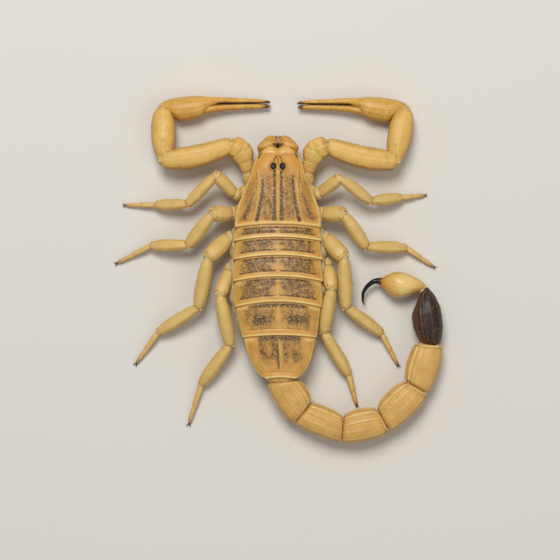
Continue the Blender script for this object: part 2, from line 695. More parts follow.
grain = most(dusk * 0.8, outer_keels, inner_keels, side_keels, 0.15)
grain = grain * (1 - rear_rim) * smoothstep(0.2, 0.6, ahead)
marks = {"dusk": dusk, "pale": pale, "warm": warm, "grain": grain}
stand_in("carapace", "carapace_shell", carapace.part(marks))
print("a share of", round(float((dusk > 0.3).mean()), 2), "of the carapace is dusky")

# %% Eyes
SMALL_EYES = [(2.55, 18.93, 5.42), (2.75, 18.66, 5.44), (2.9, 18.4, 5.46)]


def ball(centre, radii, rows=14, columns=20):
    """Net of an egg-shaped ball, with its poles on the y axis."""
    turn = np.linspace(0, PI, rows + 2)[1:-1, None]
    angle = np.linspace(0, 2 * PI, columns + 1)[:-1][None]
    shape = np.broadcast_arrays(np.sin(turn) * np.cos(angle), np.cos(turn), np.sin(turn) * np.sin(angle))
    return np.array(centre) + np.stack(shape, -1) * np.array(radii)


for side, sign in (("left", -1), ("right", 1)):
    radii = (EYE["radius"] * 0.92, EYE["radius"] * 1.16, EYE["radius"])
    lens = ball((sign * EYE["x"], EYE["y"] - 0.1, EYE["z"]), radii, 24, 36)
    small = [ball((sign * x, y, z), (0.11, 0.12, 0.11), 8, 12) for x, y, z in SMALL_EYES]
    stand_in(f"eye_{side}", "eye", *[(net, {}, LENS) for net in [lens, *small]])
print("eyes are", round(2 * EYE["radius"], 2), "mm across")

# %% [markdown]
# Each tergite has a low front strip that slides under the plate ahead, a grained dusky field with
# a yellow keel through its middle, then a groove and a smooth, rounded yellow rim. The first four
# are marked alike. The fifth has two dark patches, and the long sixth has five keels.

# %% Markings of the back plates
def plain_dusk(plate, at):
    """Dusky fields on either side of the keel, darkest at the front and in the groove."""
    open_mid = 1 - band(plate.x, 0, 0.55 + 0.5 * band(plate.behind, at["rim width"] + 0.5, 0.7))
    front_part = band(plate.ahead, 0.8, 0.35) * (1 - 0.5 * band(plate.x, 0, 0.5))
    front_line = band(plate.ahead, 0.32, 0.18) * (1 - smoothstep(0.76, 0.92, np.abs(plate.u)))
    return most(
        0.58 * at["field"] * open_mid * at["fray"], 0.7 * at["field"] * front_part * at["fray"],
        1.3 * at["groove"] * (1 - 0.85 * band(plate.x, 0, 0.45)), 0.95 * front_line * at["fray"],
    )


def patched_dusk(plate, at):
    """Two dark patches, the left one with a darker middle, and a dark front line."""
    x, y = plate.x, plate.y + 5.9
    patches = spot(np.abs(x) - 2.8, y, 1.75, 0.95) + 0.5 * spot(x + 2.3, y, 0.7, 0.5)
    open_mid = 1 - band(x, 0, 0.55 + 0.5 * band(plate.behind, at["rim width"] + 0.5, 0.7))
    light = 0.5 * at["field"] * open_mid * band(plate.y, -5.6, 2.2) * at["fray"]
    front_line = band(plate.ahead, 0.42, 0.3) * (1 - smoothstep(0.55, 0.8, np.abs(plate.u)))
    return most(1.05 * patches * at["fray"], light, 1.0 * front_line)


def keeled_dusk(plate, at):
    """Dark lines along the keels that fade towards the tail, and a dark front band and slit."""
    x, y, aside = plate.x, plate.y, np.abs(plate.x)
    lines = most(
        1.3 * stripe(x, y, [[-9.3, -0.38, 0.2], [-11.5, -0.33, 0.24], [-13.3, -0.2, 0.12]]),
        0.6 * stripe(x, y, [[-9.3, 0.8, 0.24], [-11.0, 0.75, 0.2], [-12.4, 0.65, 0.12]]),
        0.46 * between(aside, 0.3, 3.3, 0.5) * (1 - smoothstep(-10.6, -13.9, y)),
        0.3 * stripe(aside, y, [[-9.3, 2.3, 0.6], [-11.4, 2.1, 0.5], [-12.9, 1.75, 0.3]]),
    )
    mottle = 1 + 0.25 * waves(plate.points(), 0.8, 91)
    front_band = band(plate.ahead, 0.42, 0.3) * (1 - smoothstep(0.5, 0.66, np.abs(plate.u)))
    lines = lines * at["fray"] * mottle * (1 - 0.3 * at["side keels"]) * (1 - 0.6 * at["keel"])
    return most(lines, 1.2 * front_band, 0.9 * spot(x - 0.2, plate.behind - 0.12, 0.55, 0.1))


OWN_DUSK = {5: patched_dusk, 6: keeled_dusk}
print("plates with markings of their own:", *OWN_DUSK)

# %% Back plates
TERGITES = [
    # rear edge, bow of that edge, width of the rim
    (6.45, 0.6, 0.6), (3.75, 0.7, 0.65), (0.55, 0.75, 0.75), (-3.2, 0.85, 0.8), (-8.2, 0.4, 0.8),
    (-14.6, 0.3, 0.7),
]
SIDE_KEELS = [
    [[-9.2, 2.0, 0.2], [-12.0, 1.7, 0.18], [-13.4, 1.4, 0.14]],
    [[-9.2, 3.7, 0.18], [-12.0, 3.0, 0.16], [-13.2, 2.6, 0.12]],
]
front, front_bow = 8.3, 0.45
for number, (rear, rear_bow, rim_width) in enumerate(TERGITES, 1):
    plate = Plate(front, front_bow, rear, rear_bow, lift=0.07, narrowing=0.955, tuck=0.35, edge=0.1)
    x, y, points, edge = plate.x, plate.y, plate.points(), np.abs(plate.u)
    ahead, behind, is_last = plate.ahead, plate.behind, float(number == 6)
    fray = 1 + 0.35 * waves(points, 0.55, 20 + number)
    side = smoothstep(0.82, 0.9, edge)
    groove = band(behind, rim_width + 0.1 * fray, 0.1) * (1 - side)
    rim = between(behind, -1, rim_width, 0.08)
    margin = band(edge, 0.978, 0.022)
    keel = band(x, 0, 0.22) * between(ahead, 0.5, 99, 0.2) * (1 - rim)
    pair = band(np.abs(x), 2.6, 0.22) * between(behind, rim_width, rim_width + 1.4, 0.2)
    field = between(ahead, 0.42, 99, 0.12) * (1 - rim) * (1 - smoothstep(0.72, 0.93, edge))
    side_keels = is_last * most(*[stripe(np.abs(x), y, path) for path in SIDE_KEELS])
    at = {"rim width": rim_width, "fray": fray, "groove": groove, "field": field, "keel": keel}
    at["side keels"] = side_keels
    dusk = OWN_DUSK.get(number, plain_dusk)(plate, at)
    plate.z = plate.z + (
        -0.2 * (1 - smoothstep(0.18, 0.42, ahead)) - 0.07 * groove + 0.06 * rim + 0.05 * pair + 0.06 * margin
        + (0.08 + 0.06 * is_last) * keel + 0.07 * side_keels + 0.022 * waves(points, 1.0, 40 + number)
    )
    plate.y = plate.y + is_last * 0.45 * smoothstep(0.72, 1.0, edge) * smoothstep(1.2, 0, behind)
    crescent = is_last * band(behind, 0.3, 0.2) * between(np.abs(x), -1, 1.6, 0.5)
    corners = float(number > 3) * band(ahead, 0.35, 0.25) * between(edge, 0.72, 0.98, 0.04)
    pale = most(
        0.95 * band(behind, 0.1, 0.15), 0.5 * margin, 0.22 * keel, 0.2 * rim * band(behind, 0.2, 0.2),
        0.5 * crescent, 0.45 * corners,
    )
    warm = (0.35 + 0.45 * is_last) * rim + 0.3 * keel + 0.1 * side + 0.15 * side_keels
    ledge = 0.9 * band(behind, rim_width + 0.28, 0.12) * (1 - side)
    grain = most(1.2 * dusk, ledge, keel, side_keels) * (1 - rim) * smoothstep(0.25, 0.5, ahead)
    marks = {"dusk": dusk, "pale": pale, "warm": warm * (1 - pale), "grain": grain}
    stand_in(f"tergite_{number}", "back_plate", plate.part(marks))
    front, front_bow = rear, rear_bow
print("back plates:", len(TERGITES))

# %% [markdown]
# Below the edges of the back plates the skin is soft, so that the animal can swell when it has
# fed. The skin hangs in fine lengthwise folds and is drawn in a little at each plate, and the
# legs press it inwards where they pass.

# %% Limb plans
LEG_PLANS = {
    "left_1": [[-6.45, 12.9], [-9.35, 15.75], [-13.55, 11.45], [-18.45, 11.35], [-23.6, 11.35]],
    "left_2": [[-7.05, 10.0], [-9.85, 9.95], [-13.45, 5.3], [-19.2, 5.2], [-24.85, 2.35]],
    "left_3": [[-7.5, 6.3], [-10.5, 3.35], [-11.95, -4.05], [-18.15, -7.95], [-21.8, -13.05]],
    "left_4": [[-7.3, 1.3], [-8.75, -2.2], [-7.2, -9.7], [-11.6, -15.75], [-13.65, -22.3]],
    "right_1": [[6.3, 13.05], [9.3, 15.3], [13.9, 11.9], [18.6, 12.45], [22.6, 12.9]],
    "right_2": [[6.9, 9.95], [9.85, 9.9], [13.2, 5.05], [19.4, 4.85], [24.0, 1.75]],
    "right_3": [[7.3, 6.3], [9.85, 3.4], [10.25, -4.1], [15.65, -8.05], [18.4, -13.3]],
    "right_4": [[7.5, 2.0], [8.05, -1.3], [6.85, -7.75], [10.65, -14.25], [12.05, -19.4]],
}
LEG_HEIGHTS = [2.75, 4.7, 3.1, 1.2, 0.22]
# Half widths of trochanter, femur, patella, tibia and tarsus for each pair of legs.
LEG_WIDTHS = {
    "1": (1.02, 0.96, 0.87, 0.83, 0.42), "2": (1.1, 1.17, 1.0, 0.88, 0.45),
    "3": (1.12, 1.23, 1.06, 0.92, 0.46), "4": (1.0, 1.04, 1.04, 0.96, 0.48),
}
COXA_ROOTS = {"1": (2.0, 14.6, 2.5), "2": (1.8, 12.6, 2.3), "3": (1.5, 10.6, 2.2), "4": (1.4, 9.2, 1.85)}
COXA_END = (0.95, 0.1, 2.7)
LAST_COXA_END = (0.55, 0.95, 1.9)


def leg_joints(name):
    """Root, end of the coxa, hip, knee, end of the patella, end of the tibia, claws."""
    side, number = name.split("_")
    out = np.array([-1 if side == "left" else 1, 1, 1])
    inward, ahead, level = LAST_COXA_END if number == "4" else COXA_END
    plan = [[x, y, z] for (x, y), z in zip(LEG_PLANS[name], LEG_HEIGHTS)]
    coxa_end = [plan[0][0] - out[0] * inward, plan[0][1] + ahead, level]
    return np.array([out * COXA_ROOTS[number], coxa_end, *plan])


print("legs:", ", ".join(LEG_PLANS))

# %% Soft flanks
FLANK_TOP = PLATE_UNDERSIDE - GAP
FLANK_BOTTOM = 2.6
PRESS_STEPS = 26
PRESS_DEPTH = 0.05
flank_y = np.linspace(7.9, -14.75, 230)[:, None]
down = np.linspace(0, 1, 40)[None]
drawn_in = sum(band(flank_y, rear - 0.5, 0.35) for rear in [8.3] + [plate[0] for plate in TERGITES])


def flank_side(sign):
    """One side wall as points from top to bottom, pressed in where the legs pass."""
    bulge = (0.65 * smoothstep(-13, -4, flank_y) + 0.1) * (1 - 0.35 * drawn_in)
    out = back_width(flank_y) - 0.15 + bulge * np.sin(PI * down) ** 0.6 - 0.25 * down
    out[[0, -1]] -= 0.4

    def wall(lean=0.0):
        height = mix(FLANK_TOP, FLANK_BOTTOM, down)
        return np.stack(np.broadcast_arrays(sign * out + lean, flank_y, height), -1)

    wander = 0.35 * waves(wall(), 1.6, 8)
    out = out + 0.055 * np.sin(2 * PI * (4 * down + wander)) * np.sin(PI * down)
    for name in LEG_PLANS:
        joints = leg_joints(name)
        if sign * joints[2, 0] < 0:
            continue
        for start, end, reach in zip(joints[1:4], joints[2:5], LEG_WIDTHS[name[-1]][:3]):
            way = end - start
            for _ in range(PRESS_STEPS):
                point = wall(midline(flank_y))
                share = np.clip(((point - start) @ way) / (way @ way), 0, 1)
                gap = np.linalg.norm(point - start - share[..., None] * way, axis=-1)
                out = out - PRESS_DEPTH * smoothstep(reach + 0.12, reach, gap)
    return wall(midline(flank_y))


flank_net = np.concatenate([flank_side(1), flank_side(-1)[:, ::-1]], axis=1)
fold_lines = 0.5 + 0.5 * waves(flank_net, 0.7, 9)
marks = {"dusk": 0.3 * fold_lines, "pale": 0.2 * (1 - fold_lines)}
stand_in("flanks", "soft_flank", (flank_net, marks, SKIN))
print("flank rows:", len(flank_y))

# %% [markdown]
# The belly is closed by five smooth plates, the sternites. Four pairs of short slits in them are
# the breathing holes of the book lungs. One skin carries all five plates, with a step at each
# rear edge, as the plates overlap tightly when the animal has not fed.

# %% Belly plates
BELLY = {"front": 4.6, "rear": -14.9, "bottom": 1.15, "plates": 5, "with slits": 4}
SLIT_PLACE = 0.48
y = np.linspace(BELLY["front"], BELLY["rear"], 240)[:, None]
plate_share = (BELLY["front"] - y) / (BELLY["front"] - BELLY["rear"]) * BELLY["plates"]
inside = plate_share % 1
inside[-1] = 1
step = smooth_table([[0, 0.9], [0.06, 0.955], [0.5, 0.975], [0.9, 1.0], [1.0, 0.985]], inside)[..., 0]
step = step * (1 - 0.18 * smoothstep(4.9, 5.0, plate_share))
around = np.cos(np.linspace(0, PI, 110))[None]
wide = mix(3.1, back_width(y) - 0.45, smoothstep(4.6, -1.4, y))
x = around * wide * (1 - 0.03 * band(inside, 0, 0.06))
belly_top = FLANK_BOTTOM - GAP
deep = (belly_top - BELLY["bottom"]) * step * np.clip(1 - around**2, 0, 1) ** 0.3
has_slit = plate_share < BELLY["with slits"]
from_slit = np.abs(x) - 0.6 * wide
slit = spot(from_slit + 0.3 * (inside - 0.5), inside - SLIT_PLACE, 0.42, 0.04) * has_slit
rim = spot(from_slit, inside - SLIT_PLACE, 0.6, 0.1) * has_slit
net = np.stack(np.broadcast_arrays(x + midline(y), y, belly_top - deep), -1)
net[..., 2] += 0.12 * slit - 0.03 * rim + 0.015 * waves(net, 1.4, 61)
lid = mix(net[:, -1:], net[:, :1], np.linspace(0, 1, 8)[1:-1, None])
marks = {"dusk": slit, "pale": 0.4 * band(inside, 0.96, 0.05) + 0.2 * rim}
marks["warm"] = 0.35 * band(inside, 0.1, 0.1)
marks = {name: np.concatenate([mark + 0 * x, 0 * lid[..., 0]], axis=1) for name, mark in marks.items()}
stand_in("belly_plates", "leg_shell", (np.concatenate([net, lid], axis=1), marks, LEG))
print("belly plates:", BELLY["plates"], "with", 2 * BELLY["with slits"], "breathing slits")

# %% [markdown]
# Each walking leg has a coxa fixed under the body, then a short trochanter, a stout femur, a long
# patella and tibia, a two-part foot and two hooked claws with a spur. The segments are smooth,
# pale tubes with fine beaded keels. The same few lines make all eight legs from their tables.

# %% Limb segments
def limb_marks(tube, keels, warm_end=0.65, pale_keels=0.3, pale_top=0.3, fine_lines=0.13):
    """Marks of a limb segment: pale keels and joint rims, a warm line near the far joint."""
    start, end, top = tube.place, tube.from_end, np.sin(tube.angle)
    rims = most(0.35 * band(start, 0.0, 0.2), 0.4 * band(end, 0.05, 0.2))
    line = most(0.7 * band(end, 0.5, 0.12), 0.5 * band(start, 0.3, 0.12))
    inside = between(start, 0.2, tube.length - 0.3, 0.4)
    turn = np.abs(tube.angle - PI / 2) * tube.radius
    lines = most(band(turn, 0.4, 0.09), 0.8 * band(turn, 0.78, 0.08)) * inside
    return {
        "pale": most(rims, pale_keels * keels, pale_top * smoothstep(0.35, 1.0, top) * inside),
        "warm": (warm_end * line + 0.4 * band(top, -0.05, 0.3)) * (1 - rims),
        "dusk": most(0.75 * band(end, 0.45, 0.1) * band(turn, 0.6, 0.2), fine_lines * lines),
        "grain": keels * smoothstep(-0.5, 0.1, top),
    }


def on_floor(net):
    """A net without what would lie below the floor."""
    return np.maximum(net, [-np.inf, -np.inf, 0])


def round_rows(*rows, flat=1.0):
    """Sizes of a tube from (share, half width), as high as it is wide or flatter."""
    return [[share, wide, wide * flat] for share, wide in rows]


def barrel(wide, tall, start=0.7, end=0.75):
    """Sizes of a segment that swells in the middle and narrows to its joints."""
    near_start, near_end = mix(start, 1, 0.6), mix(end, 1, 0.6)
    fullness = [[0, start], [0.14, near_start], [0.4, 1.02], [0.64, 1.04], [0.88, near_end], [1, end]]
    return [[share, wide * full, tall * full] for share, full in fullness]


joint_balls = []
hinge_knobs = []


def add_hinge(joint, plane, wide, tall, size):
    """Two knobs on the upper sides of a joint."""
    across = unit(np.cross(plane, UP))
    upward = unit(np.cross(across, plane))
    for side in (-1, 1):
        hinge_knobs.append((joint + across * side * wide + upward * tall, size))


print("a limb is fullest at", max(barrel(1.0, 1.0), key=lambda row: row[1])[0], "of its length")

# %% Claws and feet
LEG_KEELS = [
    # angle in degrees, height, half width
    [28, 0.045, 0.08], [66, 0.05, 0.08], [114, 0.05, 0.08], [152, 0.045, 0.08],
    [-30, 0.03, 0.06], [-150, 0.03, 0.06],
]
HOOK_ROWS = 16
CLAW_TURN = 24
SPUR_TURN = 35
ANKLE_SHARE = 0.52
TOE_SHARE = 0.9


def hook(start, way, length, radius, drop):
    """Net of a small claw that starts along `way` and bends down to a point."""
    share = np.linspace(0, 1, HOOK_ROWS)
    at = np.array(start) + np.outer(share, way) * length
    at[:, 2] += drop * share**2
    thick = radius * (1 - share) ** 0.7 + 0.012
    along = unit(np.gradient(at, axis=0))
    return sections(at, along, thick, thick, 2, radius)[0]


def turned(way, degrees):
    """A direction turned on the ground plane."""
    angle = math.radians(degrees)
    c, s = math.cos(angle), math.sin(angle)
    return np.array([way[0] * c - way[1] * s, way[0] * s + way[1] * c, way[2]])


def foot(joint, ankle, claws, base, tip):
    """Parts of a foot: two short tubes with fine keels, two claws and a spur."""
    toe = mix(joint, claws, TOE_SHARE)
    way = unit(claws - joint)
    base_rows = round_rows((0, 0.8 * base), (0.25, base), (0.8, 0.88 * base), (1, 0.8 * base))
    tip_rows = round_rows((0, 0.7 * base), (0.3, 1.02 * tip), (1, 0.68 * tip))
    tubes = Tube(joint, ankle, base_rows, edge=0.12), Tube(ankle, toe, tip_rows, edge=0.1)
    marks = [limb_marks(tube, keels_on(tube, LEG_KEELS[1:3], bead_length=0.25)) for tube in tubes]
    marks[0]["warm"] = marks[0]["warm"] + 0.3 * smoothstep(0.3, 1, tubes[0].share)
    marks[1]["warm"] = 0.3 + 0.7 * tubes[1].share
    marks[1]["dusk"] = 0.55 * smoothstep(0.55, 1, tubes[1].share)
    parts = [(on_floor(tube.net), mark, LEG) for tube, mark in zip(tubes, marks)]
    reach = np.linalg.norm(claws - toe) + 0.1
    for degrees in (-CLAW_TURN, CLAW_TURN):
        claw = hook(toe + 0.1 * UP, turned(way, degrees), reach, 0.1, -0.12)
        parts.append((on_floor(claw), {"warm": 0.8}, TOOTH))
    spur = hook(ankle - 0.1 * UP, turned(way, SPUR_TURN), 0.45, 0.06, -0.1)
    return [*parts, (on_floor(spur), {}, TOOTH)]


print("a hook has", hook((0, 0, 1), (1, 0, 0), 1, 0.1, -0.2).shape[:2], "points")

# %% Walking legs
def leg_part(joints, i, sizes, keels=LEG_KEELS):
    """Part of a leg between two joints. Its rounded end reaches over the neck of the next one."""
    reach = sizes[-1][1]
    end = joints[i + 1] + unit(joints[i + 1] - joints[i]) * 0.4 * reach
    tube = Tube(joints[i], end, sizes, edge=0.62 * reach, spacing=0.085, neck=0.8)
    ridges = keels_on(tube, keels, bead_length=0.3)
    return tube.net, limb_marks(tube, ridges), LEG


coxae = []
for name in LEG_PLANS:
    joints = leg_joints(name)
    planes = joint_planes(joints)
    number = name[-1]
    trochanter, femur, patella, tibia, tarsus = LEG_WIDTHS[number]
    base, ankle = 0.98 * tarsus, mix(joints[5], joints[6], ANKLE_SHARE)
    flat = 0.66 if number == "4" else 1
    sizes = round_rows((0, 0.75), (0.75, trochanter), (1, 0.8 * trochanter), flat=flat)
    coxae.append(leg_part(joints, 0, sizes, [[-90, 0.05, 0.1], [30, 0.04, 0.08], [150, 0.04, 0.08]]))
    swelling = (0, 0.74 * trochanter), (0.35, 0.95 * trochanter), (0.75, 0.97 * trochanter), (1, 0.76 * femur)
    hip = leg_part(joints, 1, round_rows(*swelling), LEG_KEELS[:4])
    hip[1]["pale"] = most(hip[1]["pale"], 0.45)
    hip[1]["dusk"] = most(hip[1]["dusk"], 0.12)
    long_parts = [
        leg_part(joints, i, barrel(wide, wide * 1.04, start, end))
        for i, wide, start, end in ((2, femur, 0.78, 0.74), (3, patella, 0.6, 0.68), (4, tibia, 0.62, 0.54))
    ]
    stand_in(f"leg_{name}_femur", "leg_shell", hip, long_parts[0])
    stand_in(f"leg_{name}_patella", "leg_shell", long_parts[1])
    foot_parts = foot(joints[5], ankle, joints[6], base, 0.74 * tarsus)
    stand_in(f"leg_{name}_tibia", "leg_shell", long_parts[2], *foot_parts)
    radii = 0.7 * trochanter, 0.7 * trochanter, 0.62 * patella, 0.62 * tibia, 0.6 * base, 0.6 * base
    joint_balls += zip([*joints[1:6], ankle], radii)
    reaches = 0.85 * trochanter, 0.8 * femur, 0.76 * patella, 0.62 * tibia
    for i, reach in enumerate(reaches, 2):
        add_hinge(joints[i], planes[i], 0.68 * reach, 0.66 * reach, 0.2 * reach + 0.03)
print("legs made:", len(LEG_PLANS))

# %% [markdown]
# Under the head part the eight coxae meet round a small five-sided breastbone, and behind it two
# little lids cover the brood opening. Here lie the combs too: feelers with a row of teeth that
# only scorpions have. The teeth are alike and follow the edge of the comb, so a node tree
# sets them along a line.

# %% Breastbone and leg bases
CORE_ROWS = [
    # y, half width, half height, level
    [17.2, 1.3, 0.7, 3.0], [16.4, 2.3, 1.0, 2.9], [14.0, 3.1, 1.25, 2.8], [11.0, 4.4, 1.3, 2.75],
    [8.6, 4.9, 1.3, 2.7], [8.0, 4.6, 1.2, 2.7],
]
core_y = np.linspace(17.2, 8.0, 90)
wide, tall, level = smooth_table(CORE_ROWS, core_y).T
lost = lost_at_edge(np.minimum(17.2 - core_y, core_y - 8.0), 0.3)
at = np.stack([0 * core_y, core_y, level], -1)
core, _ = sections(at, (0, -1, 0), wide - lost, tall - lost, 3, 0.14)
under = [(core, {"warm": 0.2}, LEG), (ball((0, 10.4, 1.5), (0.75, 1.0, 0.3)), {"warm": 0.3}, LEG)]
under += [(ball((sign * 0.66, 8.1, 1.6), (0.64, 0.95, 0.45)), {"pale": 0.2}, LEG) for sign in (-1, 1)]
for sign in (-1, 1):
    lobe = ball((sign * 4.45, 15.5, 3.0), (0.95, 1.5, 0.8), 18, 24)
    under.append((raised(lobe, 0.05 * waves(lobe, 0.7, 72)), {"pale": 0.15, "dusk": 0.2}, LEG))
stand_in("coxosternum", "leg_shell", *under, *coxae)
print("leg bases:", len(coxae))

# %% [markdown]
# What repeats is made by node trees: beads on the keels, hairs, teeth on combs and fingers, and
# the skin balls in the joints. Each tree ends by turning its copies into real faces and giving
# them a finish. Growing a tree runs it on a mesh once and keeps the plain result.

# %% Trees that set copies
class CopyTree(Group):
    """A geometry tree that sets copies of a shape on the points of a mesh."""

    def __init__(self, name, numbers):
        inputs = {"Geometry": "Geometry", **numbers, "Material": "Finish"}
        super().__init__(name, "GeometryNodeTree", inputs, {"Geometry": "Geometry"})

    def random(self, low, high, seed):
        links = {2: low, 3: high, "Seed": seed}
        return self.add("FunctionNodeRandomValue", links, out=1, data_type="FLOAT")

    def scatter(self, **links):
        """Points on the faces, at least Spacing apart, with their rotation."""
        links = {key.replace("_", " "): value for key, value in links.items()}
        links |= {"Mesh": self["Geometry"], "Distance Min": self["Spacing"], "Seed": self["Seed"]}
        kind = "GeometryNodeDistributePointsOnFaces"
        points = add_node(self.tree, kind, links, distribute_method="POISSON")
        return points.outputs["Points"], points.outputs["Rotation"]

    def copies(self, points, shape, scale, rotation=(0, 0, 0)):
        links = {"Points": points, "Instance": shape, "Rotation": rotation, "Scale": scale}
        return self.add("GeometryNodeInstanceOnPoints", links)

    def end(self, copies, smooth=False):
        """Makes the copies real and gives them their finish."""
        faces = self.add("GeometryNodeRealizeInstances", {0: copies})
        if smooth:
            faces = self.add("GeometryNodeSetShadeSmooth", {0: faces})
        links = {"Geometry": faces, "Material": self["Finish"]}
        self["Geometry"] = self.add("GeometryNodeSetMaterial", links)

    def grow(self, source, name, slot, finish, settings):
        """New piece from this tree on a source object, which is then removed."""
        settings = {**settings, "Finish": finish}
        modifier = source.modifiers.new(self.tree.name, "NODES")
        modifier.node_group = self.tree
        for item in self.tree.interface.items_tree:
            if item.in_out == "INPUT" and item.name in settings:
                modifier[item.identifier] = settings[item.name]
        bpy.context.view_layer.update()
        depsgraph = bpy.context.evaluated_depsgraph_get()
        mesh = bpy.data.meshes.new_from_object(
            source.evaluated_get(depsgraph), preserve_all_data_layers=True, depsgraph=depsgraph
        )
        old = source.data
        bpy.data.objects.remove(source)
        bpy.data.meshes.remove(old)
        mesh.name = name
        piece = link_object(name, mesh)
        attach(piece, "root")
        print(f"{name}: {len(mesh.polygons)} faces")


# %% A row of teeth along a line
ROW = CopyTree("Row of teeth", {"Float": "Spacing, Along, Across, High, Aside, Unevenness"})
curve = ROW.add("GeometryNodeMeshToCurve", {0: ROW["Geometry"]})
points = ROW.add("GeometryNodeResampleCurve", {0: curve, "Length": ROW["Spacing"]}, mode="LENGTH")
egg = ROW.add("GeometryNodeMeshUVSphere", {"Segments": 8, "Rings": 6, "Radius": 1.0})
size = ROW.add("ShaderNodeCombineXYZ", {0: ROW["Along"], 1: ROW["Across"], 2: ROW["High"]})
side = ROW.add("ShaderNodeCombineXYZ", {1: ROW["Aside"]})
egg = ROW.add("GeometryNodeTransform", {"Geometry": egg, "Scale": size, "Translation": side})
tangent = ROW.add("GeometryNodeInputTangent")
turn = ROW.add("FunctionNodeAlignRotationToVector", {"Vector": tangent}, axis="X", pivot_axis="Z")
least = ROW.sum("SUBTRACT", 1.0, ROW["Unevenness"])
largest = ROW.sum("ADD", 1.0, ROW["Unevenness"])
ROW.end(ROW.copies(points, egg, ROW.random(least, largest, 7), turn))


def add_row(name, paths, slot, finish, spacing, size, aside=0.0, unevenness=0.35):
    """A row of eggs along lines. Their size is given along, across and up."""
    starts = np.cumsum([0] + [len(path) for path in paths])
    edges = [(i, i + 1) for a, b in zip(starts[:-1], starts[1:]) for i in range(a, b - 1)]
    source = link_object(name, plan_mesh(name, np.vstack(paths), edges, [], {}))
    ROW.grow(source, name, slot, finish, {
        "Spacing": spacing * MM, "Along": size[0] * MM, "Across": size[1] * MM, "High": size[2] * MM,
        "Aside": aside * MM, "Unevenness": unevenness,
    })


print("tree made:", ROW.tree.name)

# %% Combs
COMB_ROOT = (0.9, 6.9, 0.86)
COMB_TIP = (5.0, 3.0, 0.86)
TOOTH_SPACING = 0.165
comb_paths = []
share = np.linspace(0, 1, 60)
wide = smooth_table([[0, 0.3], [0.12, 0.46], [0.5, 0.44], [0.85, 0.36], [1, 0.1]], share)[:, 0]
tall = smooth_table([[0, 0.2], [0.15, 0.24], [0.8, 0.22], [1, 0.08]], share)[:, 0]
furrows = 1 - (0.5 + 0.5 * np.sin(2 * PI * share * 9)[:, None]) ** 0.3
for side, sign in (("left", -1), ("right", 1)):
    root, tip = (np.array(place) * [sign, 1, 1] for place in (COMB_ROOT, COMB_TIP))
    way = unit(tip - root)
    away = np.array([-way[1], way[0], 0]) * sign
    at = mix(root, tip, share[:, None]) + np.outer(0.12 * np.sin(PI * share), away)
    bar, _ = sections(at, way, wide, tall, 2.6, 0.07)
    bar = raised(bar, -0.04 * furrows)
    stand_in(f"pectine_{side}", "leg_shell", (bar, {"pale": 0.3, "warm": 0.4 * furrows}, LEG))
    edge = (at - np.outer(wide * 0.85, away))[3:-3]
    comb_paths.append(edge[::sign])
add_row("comb_teeth", comb_paths, "leg_shell", LEG, TOOTH_SPACING, (0.07, 0.3, 0.14), -0.14, 0.08)
print("comb teeth are", TOOTH_SPACING, "mm apart")

# %% [markdown]
# The jaws, or chelicerae, are two short pincers that fill the space under the front lobes. Only
# their rounded bases show from above, pale yellow, with small dark fingers that point inwards.

# %% Jaws
JAW_ROWS = [
    # y, distance from the midline, level, half width, half height
    [17.6, 1.45, 3.05, 1.1, 0.8], [19.2, 1.6, 3.1, 1.42, 0.95], [20.0, 1.65, 3.4, 1.52, 1.3],
    [20.7, 1.48, 3.4, 1.22, 1.28], [21.25, 1.25, 3.1, 0.85, 0.95], [21.75, 1.0, 2.75, 0.4, 0.45],
]
JAW_FINGERS = [
    # start, direction, length
    ((0.78, 20.75, 3.5), (-0.5, 0.86, 0), 1.15), ((0.95, 20.9, 2.8), (-0.65, 0.76, 0), 1.05),
]
jaw_y = np.concatenate([np.linspace(17.6, 21.4, 60), 21.75 - 0.35 * np.linspace(1, 0, 14)[1:] ** 2])
out, level, wide, tall = smooth_table(JAW_ROWS, jaw_y).T
finger_marks = {"warm": 0.45, "dusk": smoothstep(0.5, 0.8, np.linspace(0, 1, HOOK_ROWS))[:, None]}
for side, sign in (("left", -1), ("right", 1)):
    mirror = np.array([sign, 1, 1])
    at = np.stack([sign * out, jaw_y, level], -1)
    jaw, _ = sections(at, (0, 1, 0), wide * 0.97, tall, 2.3, 0.08)
    jaw = raised(jaw, 0.03 * waves(jaw, 0.8, 31))
    aside, y = sign * jaw[..., 0], jaw[..., 1]
    crease = band(y, 20.75 - 0.25 * (aside - 1.5), 0.14)
    upper = jaw[..., 2] > level[:, None]
    pit = spot(aside - 0.42, y - 20.12 - 0.3 * aside, 0.36, 0.2)
    jaw[..., 2] -= (0.12 * crease + 0.5 * pit) * upper
    marks = {
        "warm": 0.3 + 0.3 * smoothstep(21.0, 21.7, y), "dusk": most(0.3 * crease, 1.4 * pit * upper),
        "pale": 0.22 * band(y, 20.5, 0.35), "grain": 0.25 * smoothstep(19.8, 20.6, y),
    }
    fingers = [
        (hook(mirror * start, unit(mirror * way), length, 0.4, -0.4), finger_marks, ARM)
        for start, way, length in JAW_FINGERS
    ]
    tooth = ball((sign * 0.2, 20.3, 2.8), (0.3, 0.6, 0.5), 10, 14)
    lip = ball((sign * 0.24, 20.95, 2.75), (0.34, 0.8, 0.55), 14, 18)
    soft = (tooth, {"dusk": 0.5}, TOOTH), (lip, {"warm": 0.3, "dusk": 0.2}, SKIN)
    stand_in(f"chelicera_{side}", "arm_shell", (jaw, marks, ARM), *fingers, *soft)
print("jaws made")

# %% [markdown]
# The arms, or pedipalps, are the pincers. Each has a short base, then femur, patella, hand and
# two long straight fingers. The tubes have warm orange lower edges, pale keels and rows of beads.

